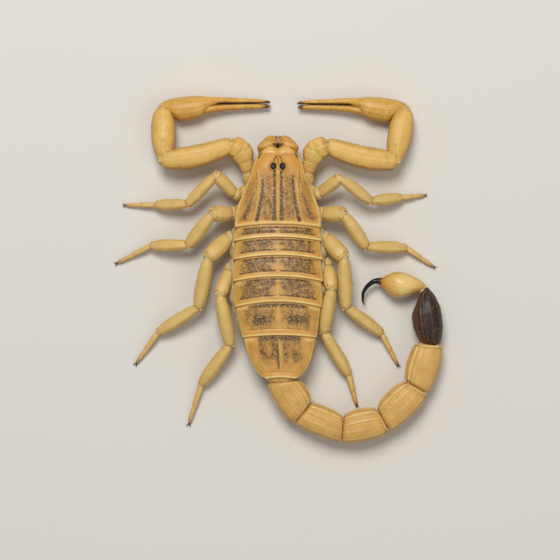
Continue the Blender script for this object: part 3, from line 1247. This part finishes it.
# %% Arm bases and segments
ARM_PLANS = {
    "left": [[-4.35, 16.3], [-5.55, 19.5], [-6.95, 20.3], [-17.15, 18.1], [-17.4, 25.8], [-1.2, 26.75]],
    "right": [[4.35, 16.3], [5.6, 19.55], [7.3, 20.2], [17.55, 17.95], [19.15, 25.65], [2.95, 26.6]],
}
ARM_LEVELS = [3, 3.5, 3.75, 3.5, 2.1, 1.3]
ARM_KEELS = [
    # angle in degrees, height, half width
    [44, 0.07, 0.09], [88, 0.06, 0.09], [132, 0.07, 0.09], [-2, 0.07, 0.08], [182, 0.07, 0.08],
    [-60, 0.04, 0.1], [-120, 0.04, 0.1],
]
ARM_BEADS = (-2, 44, 132, 160, 182)
COXA_SIZES = [
    [0, 1.0, 0.9], [0.3, 1.15, 1.0], [0.42, 1.2, 1.05], [0.56, 1.52, 1.3], [0.78, 1.72, 1.5], [1, 1.55, 1.4],
]
KNUCKLE_SIZES = [[0, 1.55, 1.4], [0.3, 1.64, 1.48], [0.6, 1.6, 1.45], [0.85, 1.42, 1.32], [1, 1.22, 1.15]]


def arm_marks(tube, keels):
    """Marks of an arm segment. The side towards the tail is warmer."""
    marks = limb_marks(tube, keels, warm_end=0.6, pale_keels=0.5, pale_top=0.24, fine_lines=0.1)
    marks["warm"] = marks["warm"] + 0.5 * smoothstep(0.4, 1.0, -outward(tube.net)[..., 1])
    return marks


def arm_part(tube):
    """Part of an arm segment. Its net stays smooth, and marks and beads show the keels."""
    smooth_net = tube.net
    return smooth_net, arm_marks(tube, keels_on(tube, ARM_KEELS)), ARM


def arm_base(joints, ways):
    """Parts of an arm's base: a coxa with soft folds at its root, and a knuckle."""
    coxa = Tube(joints[0], joints[1] + 0.5 * ways[0], COXA_SIZES, tuck=0.6, edge=0.8)
    marks = limb_marks(coxa, keels_on(coxa, ARM_KEELS[:3], start=1.6))
    soft = 1 - smoothstep(0.4, 0.52, coxa.share)
    folds = 0.5 + 0.5 * np.sin(2 * PI * coxa.place / 0.42)
    folds = folds * (0.75 + 0.5 * waves(coxa.net, 0.8, 71))
    marks["pale"] = most(marks["pale"] * (1 - soft), soft * (0.1 + 0.3 * folds))
    marks["dusk"] = most(marks["dusk"], 0.22 * soft * (1 - 0.6 * folds))
    knuckle = Tube(joints[1], joints[2] + 0.35 * ways[1], KNUCKLE_SIZES, tuck=1.1, neck=1.0, edge=0.8)
    knuckle_marks = arm_marks(knuckle, keels_on(knuckle, ARM_KEELS[:3], start=0.3, end=0.4))
    return (raised(coxa.net, 0.035 * folds * soft), marks, ARM), (knuckle.net, knuckle_marks, ARM)


print("arm joints:", len(ARM_LEVELS))

# %% Hands
HAND = {"length": 6.7, "level": 1.68, "tip_level": 1.3}
HAND_KEELS = (42, 66, 90, 114, 138, 12, 168)
HAND_BEADS = (12, 42, 66, 114, 138, 168)
FINGER_SPACING = 0.085


def finger_tube(wrist, tip, rows, plane, lift=0.0, gap=0.0):
    """Net from wrist to tip, from rows of [share, half width, half height, shift ahead]."""
    first, last = rows[0][0], rows[-1][0]
    length = np.linalg.norm(tip - wrist)
    way = (tip - wrist) / length
    share = np.linspace(first, last, round((last - first) * length / FINGER_SPACING))
    wide, tall, shift = smooth_table(rows, share).T
    lost = lost_at_edge((share - first) * length, 0.2) + 0.95 * lost_at_edge((last - share) * length, 0.2)
    at = wrist + np.outer(share * length + gap, way)
    at[:, 1] += shift
    at[:, 2] = mix(HAND["level"] + lift, HAND["tip_level"], smoothstep(HAND["length"] / length, 1, share))
    along = unit(mix(plane, way, np.minimum(share / 0.16, 1)[:, None]))
    net, angle = sections(at, along, wide - lost, tall - lost, 2.2, 0.1)
    return net, angle, share[:, None]


def hand_part(wrist, tip, plane, palm):
    """The hand with its fixed finger. Palm is the hand's share of the whole length."""
    rows = [
        [0, 0.9, 1.0, 0.1], [0.04, 1.3, 1.35, -0.1], [0.1, 1.7, 1.62, -0.22], [0.16, 1.8, 1.72, -0.2],
        [0.22, 1.79, 1.74, -0.12], [0.3, 1.7, 1.66, -0.04], [0.36, 1.49, 1.55, 0.11],
        [palm - 0.01, 1.08, 1.35, 0.44], [palm + 0.04, 0.76, 1.08, 0.68], [palm + 0.1, 0.55, 0.8, 0.82],
        [0.65, 0.46, 0.62, 0.68], [0.8, 0.38, 0.46, 0.52], [0.88, 0.32, 0.38, 0.41],
        [0.95, 0.25, 0.3, 0.28], [1, 0.2, 0.22, 0.14],
    ]
    net, angle, share = finger_tube(wrist, tip, rows, plane, gap=GAP)
    place = share * np.linalg.norm(tip - wrist)
    on_hand = between(place, 0.5, HAND["length"] - 0.3, 0.3)
    keels = most(*[band(angle_from(angle, degrees) * 1.6, 0, 0.06) for degrees in HAND_KEELS]) * on_hand
    rearward = -outward(net)[..., 1]
    net = on_floor(raised(net, 0.045 * keels * (1 + 0.3 * np.sin(2 * PI * place / 0.4))))
    bead_paths["arm"] += keel_paths(net, angle, place, HAND_BEADS, 0.6, HAND["length"] - 0.5)
    inner = smoothstep(0.3, 0.9, rearward) * smoothstep(palm + 0.02, palm + 0.12, share)
    middle = band((angle - PI / 2) * 1.6, 0, 0.08) * on_hand * (0.5 + 0.5 * np.sin(2 * PI * place / 0.55))
    warm = 0.5 * middle + 0.5 * smoothstep(0.5, 1, rearward) + 0.7 * inner
    marks = {
        "pale": 0.3 * keels * (1 - middle) + 0.3 * band(place, 0.25, 0.2),
        "dusk": most(1.2 * smoothstep(0.93, 0.975, share), 0.45 * middle, 0.75 * inner),
        "warm": warm + 0.4 * smoothstep(0.85, 0.97, share), "grain": keels,
    }
    return net, marks, ARM


print("keels on a hand:", len(HAND_KEELS))

# %% Fingers and their teeth
FINGER_GAP = [[0.8, 0.14], [0.93, 0.03], [1, -0.12]]


def finger_part(wrist, tip, palm):
    """The finger that moves, closed against the fixed one."""
    rows = [
        [palm - 0.08, 0.5, 0.9, -0.55], [palm - 0.03, 0.68, 1.05, -0.45], [palm + 0.04, 0.63, 1.0, -0.35],
        [palm + 0.1, 0.58, 0.86, -0.26], [palm + 0.18, 0.5, 0.66, -0.21], [0.75, 0.45, 0.5, -0.24],
        [0.86, 0.41, 0.42, -0.3], [0.95, 0.33, 0.32, -0.37], [1, 0.2, 0.22, -0.44],
    ]
    net, _, share = finger_tube(wrist, tip, rows, unit(tip - wrist), lift=-0.1)
    forward = outward(net)[..., 1]
    inner = smoothstep(0.3, 0.9, forward)
    warm = 0.5 * smoothstep(0.4, 1, -forward) + 0.7 * inner + 0.5 * smoothstep(0.85, 0.97, share)
    return net, {"dusk": most(1.2 * smoothstep(0.93, 0.975, share), 0.5 * inner), "warm": warm}, ARM


def tooth_lines(wrist, tip, palm):
    """Two lines of teeth, one on the inner edge of each finger."""
    share = np.linspace(palm + 0.03, 0.97, 60)
    gap_rows = [[palm, 0.28], [palm + 0.1, 0.27], *FINGER_GAP]
    for ahead, high in ((0.13, 0.22), (-0.12, 0.12)):
        line = wrist + np.outer(share, tip - wrist)
        line[:, 1] += smooth_table(gap_rows, share)[:, 0] + ahead
        line[:, 2] += 0.3 * (1 - share) + high + mix(0.2, 0.02, smoothstep(palm, 1, share)) * 0.5
        yield line


print("gap between the fingers near the tip:", round(float(smooth_table(FINGER_GAP, 0.85)[0]), 2), "mm")

# %% Arms
ELBOW_KNOBS = [
    # aside, ahead, high, size
    (-1.2, 0.75, 0.72, 0.42), (-0.6, 0.62, 0.9, 0.34), (-0.1, 0.75, 0.95, 0.26), (-1.65, 0.95, 0.5, 0.26),
]
finger_paths = []
for side, plan in ARM_PLANS.items():
    joints = np.array([[x, y, z] for (x, y), z in zip(plan, ARM_LEVELS)])
    planes = joint_planes(joints)
    out = np.array([-1 if side == "left" else 1, 1, 1])
    ways = unit(np.diff(joints, axis=0))
    stand_in(f"arm_{side}_base", "arm_shell", *arm_base(joints, ways))
    femur = Tube(joints[2], joints[3] + 0.6 * ways[2], barrel(1.6, 1.4, 0.72, 0.74), square=2.7, bow=0.55,
                 tuck=0.5, edge=0.8)
    stand_in(f"arm_{side}_femur", "arm_shell", arm_part(femur))
    patella = Tube(joints[3] + 0.3 * ways[3], joints[4] + 0.25 * ways[3], barrel(1.74, 1.62, 0.58, 0.5),
                   tuck=0.8, neck=0.95, edge=0.5)
    for tube in (femur, patella):
        bead_paths["arm"] += keel_paths(tube.net, tube.angle, tube.place, ARM_BEADS, 0.6, tube.length - 0.7)
    stand_in(f"arm_{side}_patella", "arm_shell", arm_part(patella))
    wrist, tip = joints[4], joints[5]
    palm = HAND["length"] / np.linalg.norm(tip - wrist)
    stand_in(f"arm_{side}_hand", "arm_shell", hand_part(wrist, tip, planes[4], palm))
    stand_in(f"arm_{side}_finger", "arm_shell", finger_part(wrist, tip, palm))
    finger_paths += tooth_lines(wrist, tip, palm)
    joint_balls += zip(joints[2:5], (1.0, 1.0, 0.85))
    for i, reach in enumerate((1.2, 1.25, 1.0), 2):
        add_hinge(joints[i] + 0.25 * ways[i], planes[i], 0.6 * reach, 0.8 * reach, 0.24)
    hinge_knobs += [(joints[3] + out * place, size) for *place, size in ELBOW_KNOBS]
add_row("finger_teeth", finger_paths, "arm_shell", TOOTH, 0.2, (0.085, 0.09, 0.14), unevenness=0.3)
print("arms made:", len(ARM_PLANS))

# %% [markdown]
# The tail is the narrow hind part of the body: six rings here, the last one almost black, then
# the bulb that holds the venom, and the sting. The rings have flat faces with fine pale keels
# between them. Each ring ends in a collar that grips the next by two knuckles.

# %% Tail line and ring sizes
TAIL_JOINTS = np.array([
    [0.6, -15.15, 3.1], [3.55, -19.95, 2.62], [9.6, -22.5, 2.45], [15.8, -21.15, 2.45],
    [20.85, -16.25, 2.4], [22.75, -9.75, 2.3], [21.95, -1.55, 2.15],
])
RING_SIZES = [
    # half widths in front, in the middle and at the rear, half height, fullness near the rear
    (2.3, 2.58, 1.95, 2.5, 0.82), (1.95, 2.2, 1.85, 2.5, 0.82), (1.85, 2.42, 1.85, 2.5, 0.82),
    (1.85, 2.5, 1.8, 2.45, 0.82), (1.75, 2.42, 1.9, 2.35, 0.82), (1.5, 2.26, 0.72, 2.28, 0.55),
]
DARK_RING = 5
DARK_WIDEST = 2.22
DARK_WIDTHS = [
    (0, 1.3), (0.07, 1.6), (0.2, 1.95), (0.38, 2.2), (0.56, 2.22), (0.74, 1.9), (0.88, 1.32), (1, 0.7),
]
BULB_HEADING = math.radians(173)
BULB_LENGTH = 6.35
BULB_LEVEL = 1.95
bulb_end = TAIL_JOINTS[-1] + BULB_LENGTH * np.array([math.cos(BULB_HEADING), math.sin(BULB_HEADING), 0])
bulb_end[2] = BULB_LEVEL
tail_planes = joint_planes(np.vstack([TAIL_JOINTS, bulb_end]))
tail_planes[0] = unit([0.1, -1, 0])


def ring_rows(front, middle, rear, tall, fullness):
    """Sizes of a ring that swells from its front to its middle and narrows to its rear."""
    steps = [(0.1, front, 0.55), (0.3, front, 0.9), (0.55, front, 1.0)]
    steps += [(0.8, rear, fullness), (0.94, rear, fullness * 0.4)]
    swelling = [[share, mix(end, middle, full), mix(end, tall, full)] for share, end, full in steps]
    return [[0, front, front * 0.98], *swelling, [1, rear, rear * 0.98]]


tail_steps = np.diff(np.vstack([TAIL_JOINTS, bulb_end]), axis=0)
print("tail is", round(float(np.linalg.norm(tail_steps, axis=1).sum()), 1), "mm long with its bulb")

# %% Tail rings
KEEL_STRENGTHS = {
    134: 1, 118: 1, 104: 0.7, 74: 0.45, 46: 0.6, 20: 0.5, 160: 0.6, -20: 0.6, 200: 0.6, -60: 0.6, -120: 0.6,
}
TAIL_BEADS = (20, 46, 74, 104, 118, 134, 160)
KNUCKLE_ANGLE = 0.75


def ring_marks(tube, keels, knuckles):
    """Marks of a yellow ring: palest keels on its inner side, spots at the knuckles."""
    start, end, angle = tube.place, tube.from_end, tube.angle
    inner = np.clip(0.5 - 0.5 * np.cos(angle), 0.15, 1)
    marks = limb_marks(tube, keels, warm_end=0.5, pale_keels=0.9 * inner, pale_top=0.06)
    sides = smoothstep(0.72, 0.98, np.abs(np.cos(angle)))
    marks["warm"] = marks["warm"] + 0.3 * sides * between(start, 0.3, tube.length - 0.2, 0.4)
    marks["pale"] = most(marks["pale"] * smoothstep(0.1, 0.5, start), 0.6 * band(end, 0.14, 0.12))
    spots = 0.95 * band(end, 0.24, 0.14) * knuckles
    marks["dusk"] = most(spots, 0.6 * band(start, 0.02, 0.16), 0.3 * band(end, 0.42, 0.08))
    return marks


def dark_marks(tube, keels):
    """Marks of the dark ring, which is lighter and grainy on its inner side."""
    inward = smoothstep(0.25, 0.95, -np.cos(tube.angle))
    return {
        "pale": 0.2 * keels, "warm": 0.5 * band(tube.place, 0.2, 0.4) + 0.3 * inward,
        "dusk": 0.3 * (1 - keels) * (1 - inward), "grain": most(keels, 0.55, inward),
    }


for i, sizes in enumerate(RING_SIZES):
    front, tall = sizes[0], sizes[3]
    dark, first = i == DARK_RING, i == 0
    rows = round_rows(*DARK_WIDTHS, flat=tall / DARK_WIDEST) if dark else ring_rows(*sizes)
    start = TAIL_JOINTS[i] + [0.25 * dark, 0, 0]
    tube = Tube(start, TAIL_JOINTS[i + 1], rows, tail_planes[i : i + 2], square=2.7, edge=0.16, spacing=0.08,
                tuck=0.9 if first else 0.5, neck=0.93 if first else 0.9, collar=0.07)
    high = 0.08 if dark else 0.11
    table = [[degrees, high * strong, 0.07 + 0.05 * strong] for degrees, strong in KEEL_STRENGTHS.items()]
    keels = keels_on(tube, table, beads=0.35 if dark else 0.2, bead_length=0.34, start=0.35, end=0.4)
    knuckles = most(*[band(tube.angle, angle, 0.2) for angle in (KNUCKLE_ANGLE, PI - KNUCKLE_ANGLE)])
    collar = band(tube.from_end, 0.3, 0.16)
    tube.net = on_floor(raised(tube.net, 0.06 * collar + 0.05 * collar * knuckles))
    if dark:
        stand_in(f"tail_ring_{i + 1}", "dark_ring", (tube.net, dark_marks(tube, keels), RING))
    else:
        end = tube.length - 0.25
        bead_paths["tail"] += keel_paths(tube.net, tube.angle, tube.place, TAIL_BEADS, 0.4, end)
        stand_in(f"tail_ring_{i + 1}", "tail_shell", (tube.net, ring_marks(tube, keels, knuckles), TAIL))
    joint_balls.append((TAIL_JOINTS[i], 0.78 * front))
    if not first:
        add_hinge(TAIL_JOINTS[i], tail_planes[i], 0.8 * front, 0.56 * front, 0.22)
print("tail rings:", len(RING_SIZES))

# %% [markdown]
# The bulb is smooth and glassy yellow with a few hair pits, and turns orange-brown where the
# sting begins. The sting is a hollow black needle. It bends away smoothly to a fine point.

# %% Bulb and sting
BULB_SIZES = [
    [0, 0.6, 0.6], [0.07, 0.95, 0.92], [0.21, 1.4, 1.38], [0.35, 1.7, 1.7], [0.5, 1.93, 1.88],
    [0.6, 1.95, 1.88], [0.72, 1.8, 1.72], [0.85, 1.35, 1.3], [0.95, 0.92, 0.9], [1, 0.66, 0.66],
]
STING_BEND = np.array([
    # x, y, z, radius
    [16.2, -0.32, 1.96, 0.66], [15.6, -0.22, 1.95, 0.62], [15.15, -0.15, 1.95, 0.5],
    [14.7, -0.17, 1.93, 0.42], [14.1, -0.45, 1.9, 0.37], [13.3, -1.2, 1.75, 0.31],
    [12.85, -2.2, 1.6, 0.25], [12.83, -3.1, 1.5, 0.17], [13.1, -3.8, 1.45, 0.04],
])
STING_TIP = 0.2
planes = tail_planes[len(TAIL_JOINTS) - 1], unit(bulb_end - TAIL_JOINTS[-1])
bulb = Tube(TAIL_JOINTS[-1] + [0, 0.25, 0], bulb_end + [-0.1, 0.45, 0], BULB_SIZES, planes, square=2.1,
            spacing=0.07, edge=0.1, tuck=0.2, neck=0.95, collar=0)
keels_on(bulb, [[degrees, 0.025, 0.12] for degrees in (60, 95, 130, -40, -90, -140)], beads=0.1)
share, angle = bulb.share, bulb.angle
pits = smoothstep(0.72, 0.95, waves(bulb.net, 0.5, 77)) * between(share, 0.12, 0.9, 0.08)
neck = 0.85 * band(share, 0.08, 0.12) * smoothstep(-0.4, 0.8, -np.cos(angle))
marks = {
    "pale": 0.5 * band(share, 0.42, 0.26) * smoothstep(0, 0.8, np.sin(angle)),
    "warm": neck + smoothstep(0.84, 1.0, share) + 0.5 * band(np.sin(angle), 0, 0.4),
    "dusk": most(0.7 * smoothstep(0.97, 1.02, share), 0.3 * pits),
}
stand_in("vesicle", "tail_shell", (on_floor(bulb.net), marks, BULB))
joint_balls.append((TAIL_JOINTS[-1] + [-0.15, 0.02, 0], 0.62))

run = np.concatenate([[0], np.cumsum(np.linalg.norm(np.diff(STING_BEND[:, :3], axis=0), axis=1))])
tip_start = run[-1] - STING_TIP
tip_run = run[-1] - STING_TIP * np.linspace(1, 0, 8)[1:] ** 2
fine_run = np.concatenate([np.linspace(0, tip_start, 60), tip_run])
bend = smooth_table(np.column_stack([run, STING_BEND]), fine_run)
at, thick = bend[:, :3], bend[:, 3] * 0.98
needle, _ = sections(at, unit(np.gradient(at, axis=0)), thick, thick, 2, 0.12)
stand_in("sting", "sting_tip", (needle, {"warm": 1 - smoothstep(0.5, 1.25, fine_run)[:, None]}, HORN))
print("sting is", round(float(run[-1]), 1), "mm long")

# %% [markdown]
# The shell is beaded all over its keels and its dusky fields, with grains as small as sand. Thin
# bristles stand on legs, arms and tail, by which the animal feels the air and the ground. Two
# trees scatter them: one sets squat grains where the mark `grain` is strong, the other sets
# slanting bristles at least a given distance apart.

# %% Grains
GRAINS = CopyTree("Shell grains", {"Float": "Spacing, Per Area, Size, Lightness", "Int": "Seed"})
grain = GRAINS.add("GeometryNodeInputNamedAttribute", {"Name": "grain"}, data_type="FLOAT")
points, upright = GRAINS.scatter(Density_Max=GRAINS["Per Area"], Density_Factor=grain)
lit = GRAINS.add("GeometryNodeStoreNamedAttribute", {
    "Geometry": points, "Name": "speck", "Value": GRAINS.random(0.0, GRAINS["Lightness"], 3),
}, data_type="FLOAT", domain="POINT")
squat = GRAINS.add("GeometryNodeMeshIcoSphere", {"Radius": GRAINS["Size"], "Subdivisions": 1})
squat = GRAINS.add("GeometryNodeTransform", {"Geometry": squat, "Scale": (1.0, 1.0, 0.7)})
GRAINS.end(GRAINS.copies(lit, squat, GRAINS.random(0.65, 1.2, 4), upright), smooth=True)


def add_grains(name, nodes, slot, finish, spacing, size, light, seed):
    parts = [part for node in nodes for part in nets[node]]
    GRAINS.grow(make_piece("grain_source", parts), name, slot, finish, {
        "Spacing": spacing * MM, "Per Area": 1.4 / (spacing * MM) ** 2, "Size": size * MM,
        "Lightness": light, "Seed": seed,
    })


arm_nodes = [f"arm_{side}_{part}" for side in ARM_PLANS for part in ("femur", "patella", "hand")]
leg_nodes = [f"leg_{name}_{part}" for name in LEG_PLANS for part in ("femur", "patella", "tibia")]
back_nodes = [f"tergite_{number}" for number in range(1, 7)]
ring_nodes = [f"tail_ring_{number}" for number in range(1, 7)]
add_grains("head_grains", ["carapace"], "carapace_shell", GRAIN, 0.2, 0.072, 0.55, 1)
add_grains("back_grains", back_nodes, "back_plate", GRAIN, 0.18, 0.072, 0.85, 7)
add_grains("tail_grains", ring_nodes[:DARK_RING], "tail_shell", TAIL, 0.24, 0.075, 0.35, 2)
add_grains("dark_grains", ring_nodes[DARK_RING:], "dark_ring", RING, 0.2, 0.085, 0.8, 3)
add_grains("arm_grains", arm_nodes, "arm_shell", ARM, 0.24, 0.07, 0.4, 4)
add_grains("leg_grains", leg_nodes, "leg_shell", LEG, 0.24, 0.06, 0.7, 5)

# %% Rows of beads
add_row("arm_keel_beads", bead_paths["arm"], "arm_shell", BEAD, 0.3, [0.055] * 3)
add_row("tail_keel_beads", bead_paths["tail"], "tail_shell", KEEL, 0.19, [0.07] * 3)

# %% Bristles
BRISTLES = CopyTree("Bristles", {"Float": "Spacing, Length, Thickness, Lowest", "Int": "Seed"})
height = BRISTLES.add("ShaderNodeSeparateXYZ", {0: BRISTLES.add("GeometryNodeInputPosition")}, out=2)
links = {0: height, 1: BRISTLES["Lowest"]}
high_enough = BRISTLES.add("FunctionNodeCompare", links, data_type="FLOAT", operation="GREATER_THAN")
points, upright = BRISTLES.scatter(Selection=high_enough, Density_Max=4e6)
cone = BRISTLES.add("GeometryNodeMeshCone", {
    "Vertices": 4, "Side Segments": 1, "Radius Top": 0.0, "Radius Bottom": BRISTLES["Thickness"],
    "Depth": BRISTLES["Length"],
})
links = {0: (-0.75, -0.75, -3.1), 1: (0.75, 0.75, 3.1), "Seed": 5}
slant = BRISTLES.add("FunctionNodeRandomValue", links, data_type="FLOAT_VECTOR")
slant = BRISTLES.add("FunctionNodeEulerToRotation", {0: slant})
turn = BRISTLES.add("FunctionNodeRotateRotation", {0: upright, 1: slant}, rotation_space="LOCAL")
BRISTLES.end(BRISTLES.copies(points, cone, BRISTLES.random(0.5, 1.1, 6), turn))


def add_bristles(name, nodes, slot, spacing, length, seed):
    parts = [nets[node][0] for node in nodes]
    BRISTLES.grow(make_piece("bristle_source", parts), name, slot, HAIR, {
        "Spacing": spacing * MM, "Length": length * MM, "Thickness": 0.022 * MM, "Lowest": 0.7 * MM,
        "Seed": seed,
    })


finger_nodes = ["arm_left_finger", "arm_right_finger"]
add_bristles("leg_bristles", leg_nodes, "leg_shell", 0.75, 0.55, 11)
add_bristles("arm_bristles", arm_nodes + finger_nodes, "arm_shell", 1.1, 0.6, 12)
add_bristles("tail_bristles", ring_nodes + ["vesicle"], "tail_shell", 1.3, 0.6, 13)

# %% [markdown]
# In each joint a pouch of soft folded skin closes the gap, and hard pale knobs on either side are
# the hinge. A tree sets one wrinkled ball on each joint, as large as the point's own mark says.

# %% Joint skin and hinge knobs
BALLS = CopyTree("Joint balls", {"Float": "Wrinkle, Wrinkle Rate", "Int": "Segments"})
radius = BALLS.add("GeometryNodeInputNamedAttribute", {"Name": "radius"}, data_type="FLOAT")
links = {"Segments": BALLS["Segments"], "Rings": BALLS["Segments"], "Radius": 1.0}
sphere = BALLS.add("GeometryNodeMeshUVSphere", links)
loose = BALLS.add("GeometryNodeRealizeInstances", {0: BALLS.copies(BALLS["Geometry"], sphere, radius)})
noise = BALLS.add("ShaderNodeTexNoise", {"Scale": BALLS["Wrinkle Rate"], "Detail": 2.0})
depth = BALLS.times(BALLS.sum("SUBTRACT", noise, 0.5), BALLS["Wrinkle"])
normal = BALLS.add("GeometryNodeInputNormal")
offset = BALLS.add("ShaderNodeVectorMath", {0: normal, "Scale": depth}, operation="SCALE")
creased = BALLS.add("GeometryNodeSetPosition", {"Geometry": loose, "Offset": offset})
BALLS.end(BALLS.add("GeometryNodeSetShadeSmooth", {0: creased}))


def add_balls(name, balls, slot, finish, wrinkle, rate, segments):
    places, radii = zip(*balls)
    mesh = plan_mesh(name, np.array(places), [], [], {"radius": np.array(radii) * MM})
    settings = {"Wrinkle": wrinkle * MM, "Wrinkle Rate": rate, "Segments": segments}
    BALLS.grow(link_object(name, mesh), name, slot, finish, settings)


add_balls("joint_skin", joint_balls, "soft_flank", SKIN, 0.16, 2600.0, 28)
add_balls("hinge_knobs", hinge_knobs, "leg_shell", KNOB, 0.02, 4000.0, 12)

# %% [markdown]
# The studio is plain: a pale floor, one large soft lamp above and a little towards the head, and
# a faint even glow from all round. The camera looks straight down from a little under half a
# metre with a long lens, so the animal keeps its true outline.

# %% Floor and lamps
HALF_FLOOR = 0.6
floor_mesh = bpy.data.meshes.new("floor")
corners = [(x * HALF_FLOOR, y * HALF_FLOOR, 0) for x, y in ((-1, -1), (1, -1), (1, 1), (-1, 1))]
floor_mesh.from_pydata(corners, [], [(0, 1, 2, 3)])
paper = bpy.data.materials.new("pale_paper")
paper.use_nodes = True
paper.node_tree.nodes["Principled BSDF"].inputs["Base Color"].default_value = colour("d8d4cc")
paper.node_tree.nodes["Principled BSDF"].inputs["Roughness"].default_value = 0.9
floor_mesh.materials.append(paper)
link_object("floor", floor_mesh)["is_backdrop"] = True

world = bpy.data.worlds.new("studio")
world.use_nodes = True
world.node_tree.nodes["Background"].inputs["Color"].default_value = (1.0, 0.98, 0.95, 1.0)
world.node_tree.nodes["Background"].inputs["Strength"].default_value = 0.3
bpy.context.scene.world = world


def soft_lamp(name, place, size, power):
    """A round lamp that shines at the middle of the floor."""
    data = bpy.data.lights.new(name, "AREA")
    data.shape = "DISK"
    data.size = size
    data.energy = power
    lamp = link_object(name, data)
    lamp.location = place
    lamp.rotation_euler = (-Vector(place)).to_track_quat("-Z", "Y").to_euler()


soft_lamp("main_lamp", (-0.05, 0.22, 0.42), 0.22, 1.7)
soft_lamp("fill_lamp", (0.25, -0.2, 0.4), 0.4, 0.4)
print("lamps:", len(bpy.data.lights))

# %% Camera
VIEW_WIDTH = 84.0
BODY_HEIGHT = 4.5
VIEW_MIDDLE = 0.3
camera_data = bpy.data.cameras.new("camera")
camera_data.lens = 150
camera_data.sensor_width = 36
camera_data.clip_start = 0.01
distance = camera_data.lens / camera_data.sensor_width * VIEW_WIDTH
camera = link_object("camera", camera_data)
camera.location = Vector((VIEW_MIDDLE + PLAN_SHIFT[0], PLAN_SHIFT[1], distance + BODY_HEIGHT)) * MM
bpy.context.scene.camera = camera
bpy.context.scene.view_settings.view_transform = "Standard"
print("camera is", round(distance), "mm above the back")

# %% Sizes and finish
low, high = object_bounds()
sizes = {"cad": [list(cad_low), list(cad_high)], "visual": [list(low), list(high)]}
print("visual box in mm:", [round((h - l) / MM, 1) for l, h in zip(low, high)])
